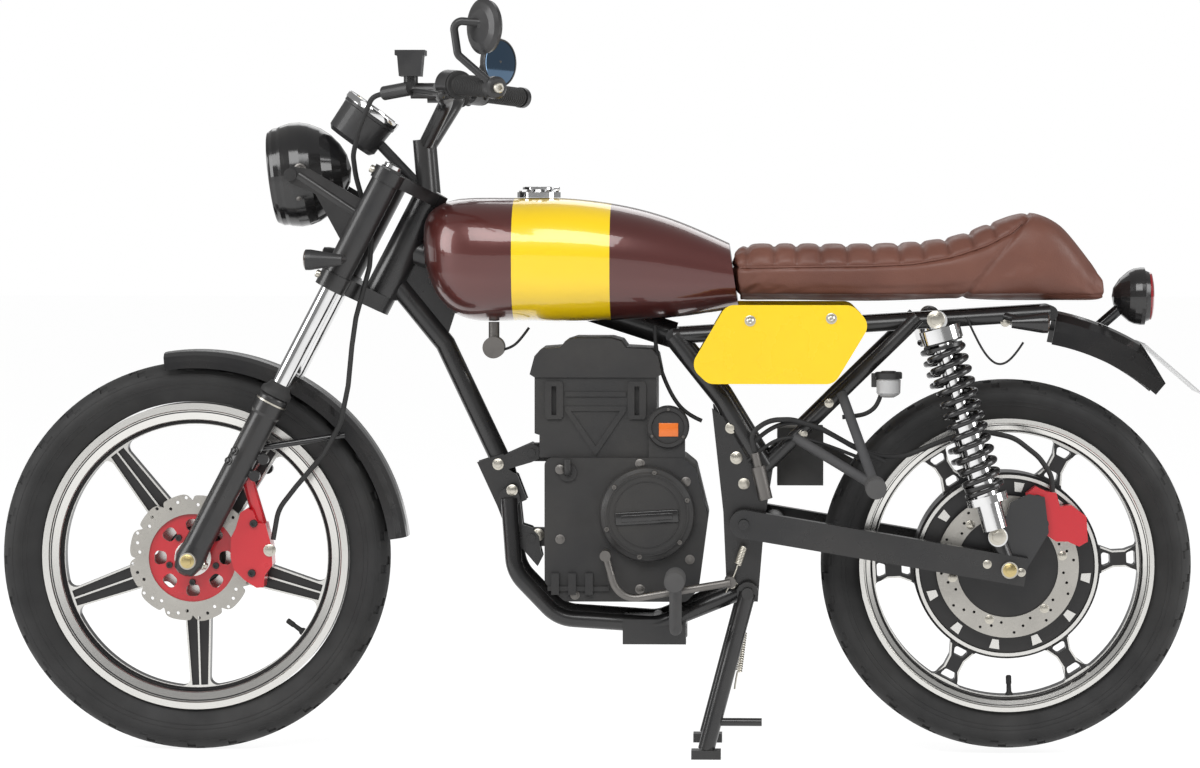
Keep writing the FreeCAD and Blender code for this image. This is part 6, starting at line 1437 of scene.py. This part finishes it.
class CAFE_OT_springs(bpy.types.Operator):
    """Adds the stand's and the pedal's springs and the shocks' rings"""

    bl_idname = "cafe.springs"
    bl_label = "Springs"

    def execute(self, context):
        for name, (body, finish, slot, side, ends, turns, rods, wire) in SPRINGS.items():
            bm = bmesh.new()
            coil(bm, *(seen_at(*place, side) for place in ends), *turns)
            for rod in rods:
                along_path(bm, [seen_at(*place, side) for place in rod], wire)
            piece(name, bm, body, finish, slot)
        bm = bmesh.new()
        run = (SHOCK_FOOT - SHOCK_TOP).normalized()
        for side in SIDES:
            for along, radius, height in SHOCK_RINGS:
                line = [(0, SHOCK_ROD), (0, radius), (height, radius), (height, SHOCK_ROD), (0, SHOCK_ROD)]
                lathe(bm, line, sided(SHOCK_TOP + run * along, side), sided(run, side), 24)
        piece("shock_rings", bm, "chassis", "fork black", "spring_black")
        return {"FINISHED"}


# The riders' footrests: place along and up, where the ribs start, how many, and their line

PEG_ROWS = ((-0.125, 0.286, 12), (-0.432, 0.428, 9))
PEG_START = 0.156
PEG_RIB_PITCH = 0.0073
PEG_RADIUS = 0.0150
PEG_RIB_LINE = ((0, -0.002), (0.0006, 0.0012), (0.0034, 0.0012), (0.004, -0.002), (0, -0.002))


class CAFE_OT_foot_controls(bpy.types.Operator):
    """Adds the ribs of the footrests"""

    bl_idname = "cafe.foot_controls"
    bl_label = "Foot Controls"

    def execute(self, context):
        bm = bmesh.new()
        line = [(along, PEG_RADIUS + out) for along, out in PEG_RIB_LINE]
        for x, z, count in PEG_ROWS:
            for side in SIDES:
                for number in range(count):
                    place = Vector((x, (PEG_START + number * PEG_RIB_PITCH) * side, z))
                    lathe(bm, line, place, LEFT * side, 28)
        piece("peg_ribs", bm, "chassis", "grey rubber", "peg_rubber")
        return {"FINISHED"}


# Lamps at the back and the wiring

TAIL = Vector((-0.840, 0, 0.717))
TAIL_LENS_LINE = ((0.0262, 0.0372), (0.0278, 0.0350), (0.0300, 0.0240), (0.0310, 0.0120), (0.0312, 0),
                  (0.0230, 0), (0.0230, 0.0372), (0.0262, 0.0372))
INDICATOR_LENS_LINE = ((-0.002, 0), (-0.002, 0.0148), (0.0006, 0.0150), (0.0022, 0.0128), (0.0034, 0.0080),
                       (0.0038, 0))
FRONT_INDICATOR_HALF = 0.016
REAR_INDICATOR = Vector((-0.78, 0.096, 0.678))


def front_lens_place(side):
    corner = high_corner("front_indicators")
    return Vector((corner.x, (corner.y - FRONT_INDICATOR_HALF) * side, middle("front_indicators").z))


def rear_lens_place(side):
    return seat_of("rear_lights", sided(REAR_INDICATOR, side), AHEAD)[0]


INDICATORS = (("front", "steering", "indicator_black", AHEAD, front_lens_place),
              ("rear", "chassis", "tail_black", -AHEAD, rear_lens_place))


class CAFE_OT_lenses(bpy.types.Operator):
    """Adds the tail lamp's lens and the indicators' lenses"""

    bl_idname = "cafe.lenses"
    bl_label = "Lenses"

    def execute(self, context):
        spun_piece("tail_lens", TAIL_LENS_LINE, TAIL, -AHEAD, 56, "chassis", "red lens", "tail_black")
        for name, body, slot, facing, lens_place in INDICATORS:
            bm = bmesh.new()
            for side in SIDES:
                lathe(bm, INDICATOR_LENS_LINE, lens_place(side), facing, 36)
            piece(f"{name}_indicator_lenses", bm, body, "smoked lens", slot)
        return {"FINISHED"}


# Each wire's distance to the left, its radius and its places in the photograph

WIRES = {
    "tank wire": (0.052, 0.0032, ((655, 326), (655, 345), (661, 372), (675, 402), (690, 416), (702, 421))),
    "lock wire": (0.040, 0.0022, ((503, 350), (512, 348), (522, 338), (529, 328))),
    "upper harness": (0.096, 0.0036, ((752, 444), (766, 430), (790, 421), (815, 426), (838, 438),
                                      (858, 450), (886, 462))),
    "lower harness": (0.094, 0.0028, ((748, 462), (764, 446), (786, 436), (812, 440), (846, 452),
                                      (870, 462))),
    "indicator wire": (0.088, 0.0018, ((966, 318), (972, 332), (985, 356), (998, 366), (1012, 358),
                                       (1022, 342))),
    "reservoir hose": (0.098, 0.0036, ((881, 392), (878, 404), (868, 413), (856, 416), (842, 417))),
}
FLUID_CUP = seen_at(888, 385, 0.098)
CUP_BRACKET = seen_at(876, 380, 0.092)
BRACKET_SIZE = (0.016, 0.004, 0.022)
CUP_LINE = ((-0.019, 0), (-0.019, 0.009), (-0.015, 0.016), (-0.012, 0.0185), (0.008, 0.0190),
            (0.009, 0.0175), (0.012, 0.0175), (0.012, 0))
CUP_CAP_LINE = ((0.010, 0), (0.010, 0.0205), (0.011, 0.0212), (0.019, 0.0212), (0.0205, 0.0195),
                (0.0205, 0.012), (0.022, 0.011), (0.022, 0))


class CAFE_OT_wiring(bpy.types.Operator):
    """Adds the wires that hang off the frame and the rear brake's reservoir"""

    bl_idname = "cafe.wiring"
    bl_label = "Wiring"

    def execute(self, context):
        bm = bmesh.new()
        for side, radius, places in WIRES.values():
            along_path(bm, [seen_at(*place, side) for place in places], radius, 12)
        piece("wiring", bm, "chassis", "rubber", "grip_rubber", 60)
        spun_piece("fluid_cup", CUP_LINE, FLUID_CUP, FACE_UP, 40, "chassis", "plate grey", "control_black")
        bm = bmesh.new()
        lathe(bm, CUP_CAP_LINE, FLUID_CUP, FACE_UP, 40)
        block(bm, BRACKET_SIZE, CUP_BRACKET)
        piece("fluid_cap", bm, "chassis", "plastic black", "control_black")
        return {"FINISHED"}


# Stage: the floor, with the share of its own look that stays and the strength of its white, the
# sky, and each lamp's name, place, width and height

FLOOR_SIZE = 60
FLOOR_COLOUR = (0.86, 0.86, 0.86)
FLOOR_KEPT = 0.3
FLOOR_GLOW = 1.3
AMBIENT = 0.3
LAMP_TARGET = Vector((0, 0, 0.55))
FAR_LAMP_SHARE = 0.35
KEY_LAMP = ("key lamp", (0.6, 3.2, 3.4), 3.5, 2.0)
SIDE_LAMPS = (("front lamp", (3.4, 1.2, 1.8), 1.6, 2.4), ("back lamp", (-3.4, 1.0, 1.8), 1.6, 2.4))
FAR_LAMP = ("far lamp", (0, -3.4, 2.6), 3.0, 1.6)


def turned_to(obj, target):
    obj.rotation_euler = (target - obj.location).to_track_quat("-Z", "Y").to_euler()


def area_lamp(name, place, width, height, power):
    lamp = bpy.data.lights.new(name, "AREA")
    lamp.shape = "RECTANGLE"
    lamp.size = width
    lamp.size_y = height
    lamp.energy = power
    obj = bpy.data.objects.new(name, lamp)
    bpy.context.scene.collection.objects.link(obj)
    obj.location = place
    turned_to(obj, LAMP_TARGET)


def pale_floor():
    """A large level sheet that the camera sees as white."""
    bm = bmesh.new()
    bmesh.ops.create_grid(bm, x_segments=1, y_segments=1, size=FLOOR_SIZE / 2)
    mesh = bpy.data.meshes.new("floor")
    bm.to_mesh(mesh)
    bm.free()
    floor = bpy.data.objects.new("floor", mesh)
    bpy.context.scene.collection.objects.link(floor)
    pale = Finish("pale floor", FLOOR_COLOUR, 0.7)
    pale.rough(0.6, 0.8, 3)
    seen_white(pale)
    mesh.materials.append(pale.material)
    return floor


def white_sky(scene):
    """White to the camera, and a softer light to everything else."""
    world = bpy.data.worlds.new("studio")
    scene.world = world
    world.use_nodes = True
    nodes = world.node_tree.nodes
    links = world.node_tree.links
    ambient = nodes["Background"]
    white = nodes.new("ShaderNodeBackground")
    for light, strength in ((ambient, AMBIENT), (white, 1.0)):
        light.inputs["Color"].default_value = (1, 1, 1, 1)
        light.inputs["Strength"].default_value = strength
    path = nodes.new("ShaderNodeLightPath")
    mix = nodes.new("ShaderNodeMixShader")
    links.new(path.outputs["Is Camera Ray"], mix.inputs["Fac"])
    links.new(ambient.outputs[0], mix.inputs[1])
    links.new(white.outputs[0], mix.inputs[2])
    links.new(mix.outputs[0], nodes["World Output"].inputs["Surface"])


def seen_white(finish):
    """Mixes a plain white glow into a finish for the camera's and mirrors' own rays."""
    output = finish.nodes["Material Output"]
    path = finish.add("ShaderNodeLightPath")
    seen = finish.math("MAXIMUM", path.outputs["Is Camera Ray"], path.outputs["Is Glossy Ray"])
    glow = finish.add("ShaderNodeEmission")
    glow.inputs["Color"].default_value = (1, 1, 1, 1)
    glow.inputs["Strength"].default_value = FLOOR_GLOW
    mix = finish.add("ShaderNodeMixShader")
    finish.link(finish.math("MULTIPLY", seen, 1 - FLOOR_KEPT), mix.inputs["Fac"])
    finish.link(finish.shader.outputs[0], mix.inputs[1])
    finish.link(glow.outputs[0], mix.inputs[2])
    finish.link(mix.outputs[0], output.inputs["Surface"])


class CAFE_OT_stage(bpy.types.Operator):
    """Sets up the pale floor, the soft lamps and the camera"""

    bl_idname = "cafe.stage"
    bl_label = "Stage"

    def execute(self, context):
        scene = context.scene
        sizes = scene.stage_sizes
        scene.view_settings.view_transform = "Standard"
        pale_floor()
        area_lamp(*KEY_LAMP, sizes.key_power)
        for lamp in SIDE_LAMPS:
            area_lamp(*lamp, sizes.fill_power)
        area_lamp(*FAR_LAMP, sizes.fill_power * FAR_LAMP_SHARE)
        white_sky(scene)
        lens = bpy.data.cameras.new("camera")
        camera = bpy.data.objects.new("camera", lens)
        scene.collection.objects.link(camera)
        camera.location = (sizes.eye_along, sizes.distance, sizes.eye_height)
        aim = Vector((sizes.aim_along, 0, sizes.aim_height))
        turned_to(camera, aim)
        lens.lens = lens.sensor_width * (aim - camera.location).length / sizes.view_width
        scene.camera = camera
        return {"FINISHED"}


class CAFE_PT_panel(bpy.types.Panel):
    """Lists the steps that dress the motorcycle"""

    bl_idname = "CAFE_PT_panel"
    bl_label = "Cafe Racer"
    bl_space_type = "VIEW_3D"
    bl_region_type = "UI"
    bl_category = "Cafe Racer"

    def draw(self, context):
        for group in (context.scene.finish_colours, context.scene.stage_sizes):
            for name in group.bl_rna.properties.keys():
                if name not in ("rna_type", "name"):
                    self.layout.prop(group, name)
        for step in STEPS:
            self.layout.operator(step.bl_idname)


STEPS = (CAFE_OT_finishes, CAFE_OT_tyres, CAFE_OT_hubs, CAFE_OT_seat, CAFE_OT_tank, CAFE_OT_headlight,
         CAFE_OT_gauge, CAFE_OT_bars, CAFE_OT_fork, CAFE_OT_drive, CAFE_OT_fasteners, CAFE_OT_springs,
         CAFE_OT_foot_controls, CAFE_OT_lenses, CAFE_OT_wiring, CAFE_OT_stage)
CLASSES = (FinishColours, StageSizes, *STEPS, CAFE_PT_panel)


def register():
    for kind in CLASSES:
        bpy.utils.register_class(kind)
    bpy.types.Scene.finish_colours = bpy.props.PointerProperty(type=FinishColours)
    bpy.types.Scene.stage_sizes = bpy.props.PointerProperty(type=StageSizes)


def unregister():
    del bpy.types.Scene.stage_sizes
    del bpy.types.Scene.finish_colours
    for kind in reversed(CLASSES):
        bpy.utils.unregister_class(kind)


def main():
    register()
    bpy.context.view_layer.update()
    for step in STEPS:
        getattr(bpy.ops.cafe, step.bl_idname.split(".")[1])()


if __name__ == "__main__":
    main()
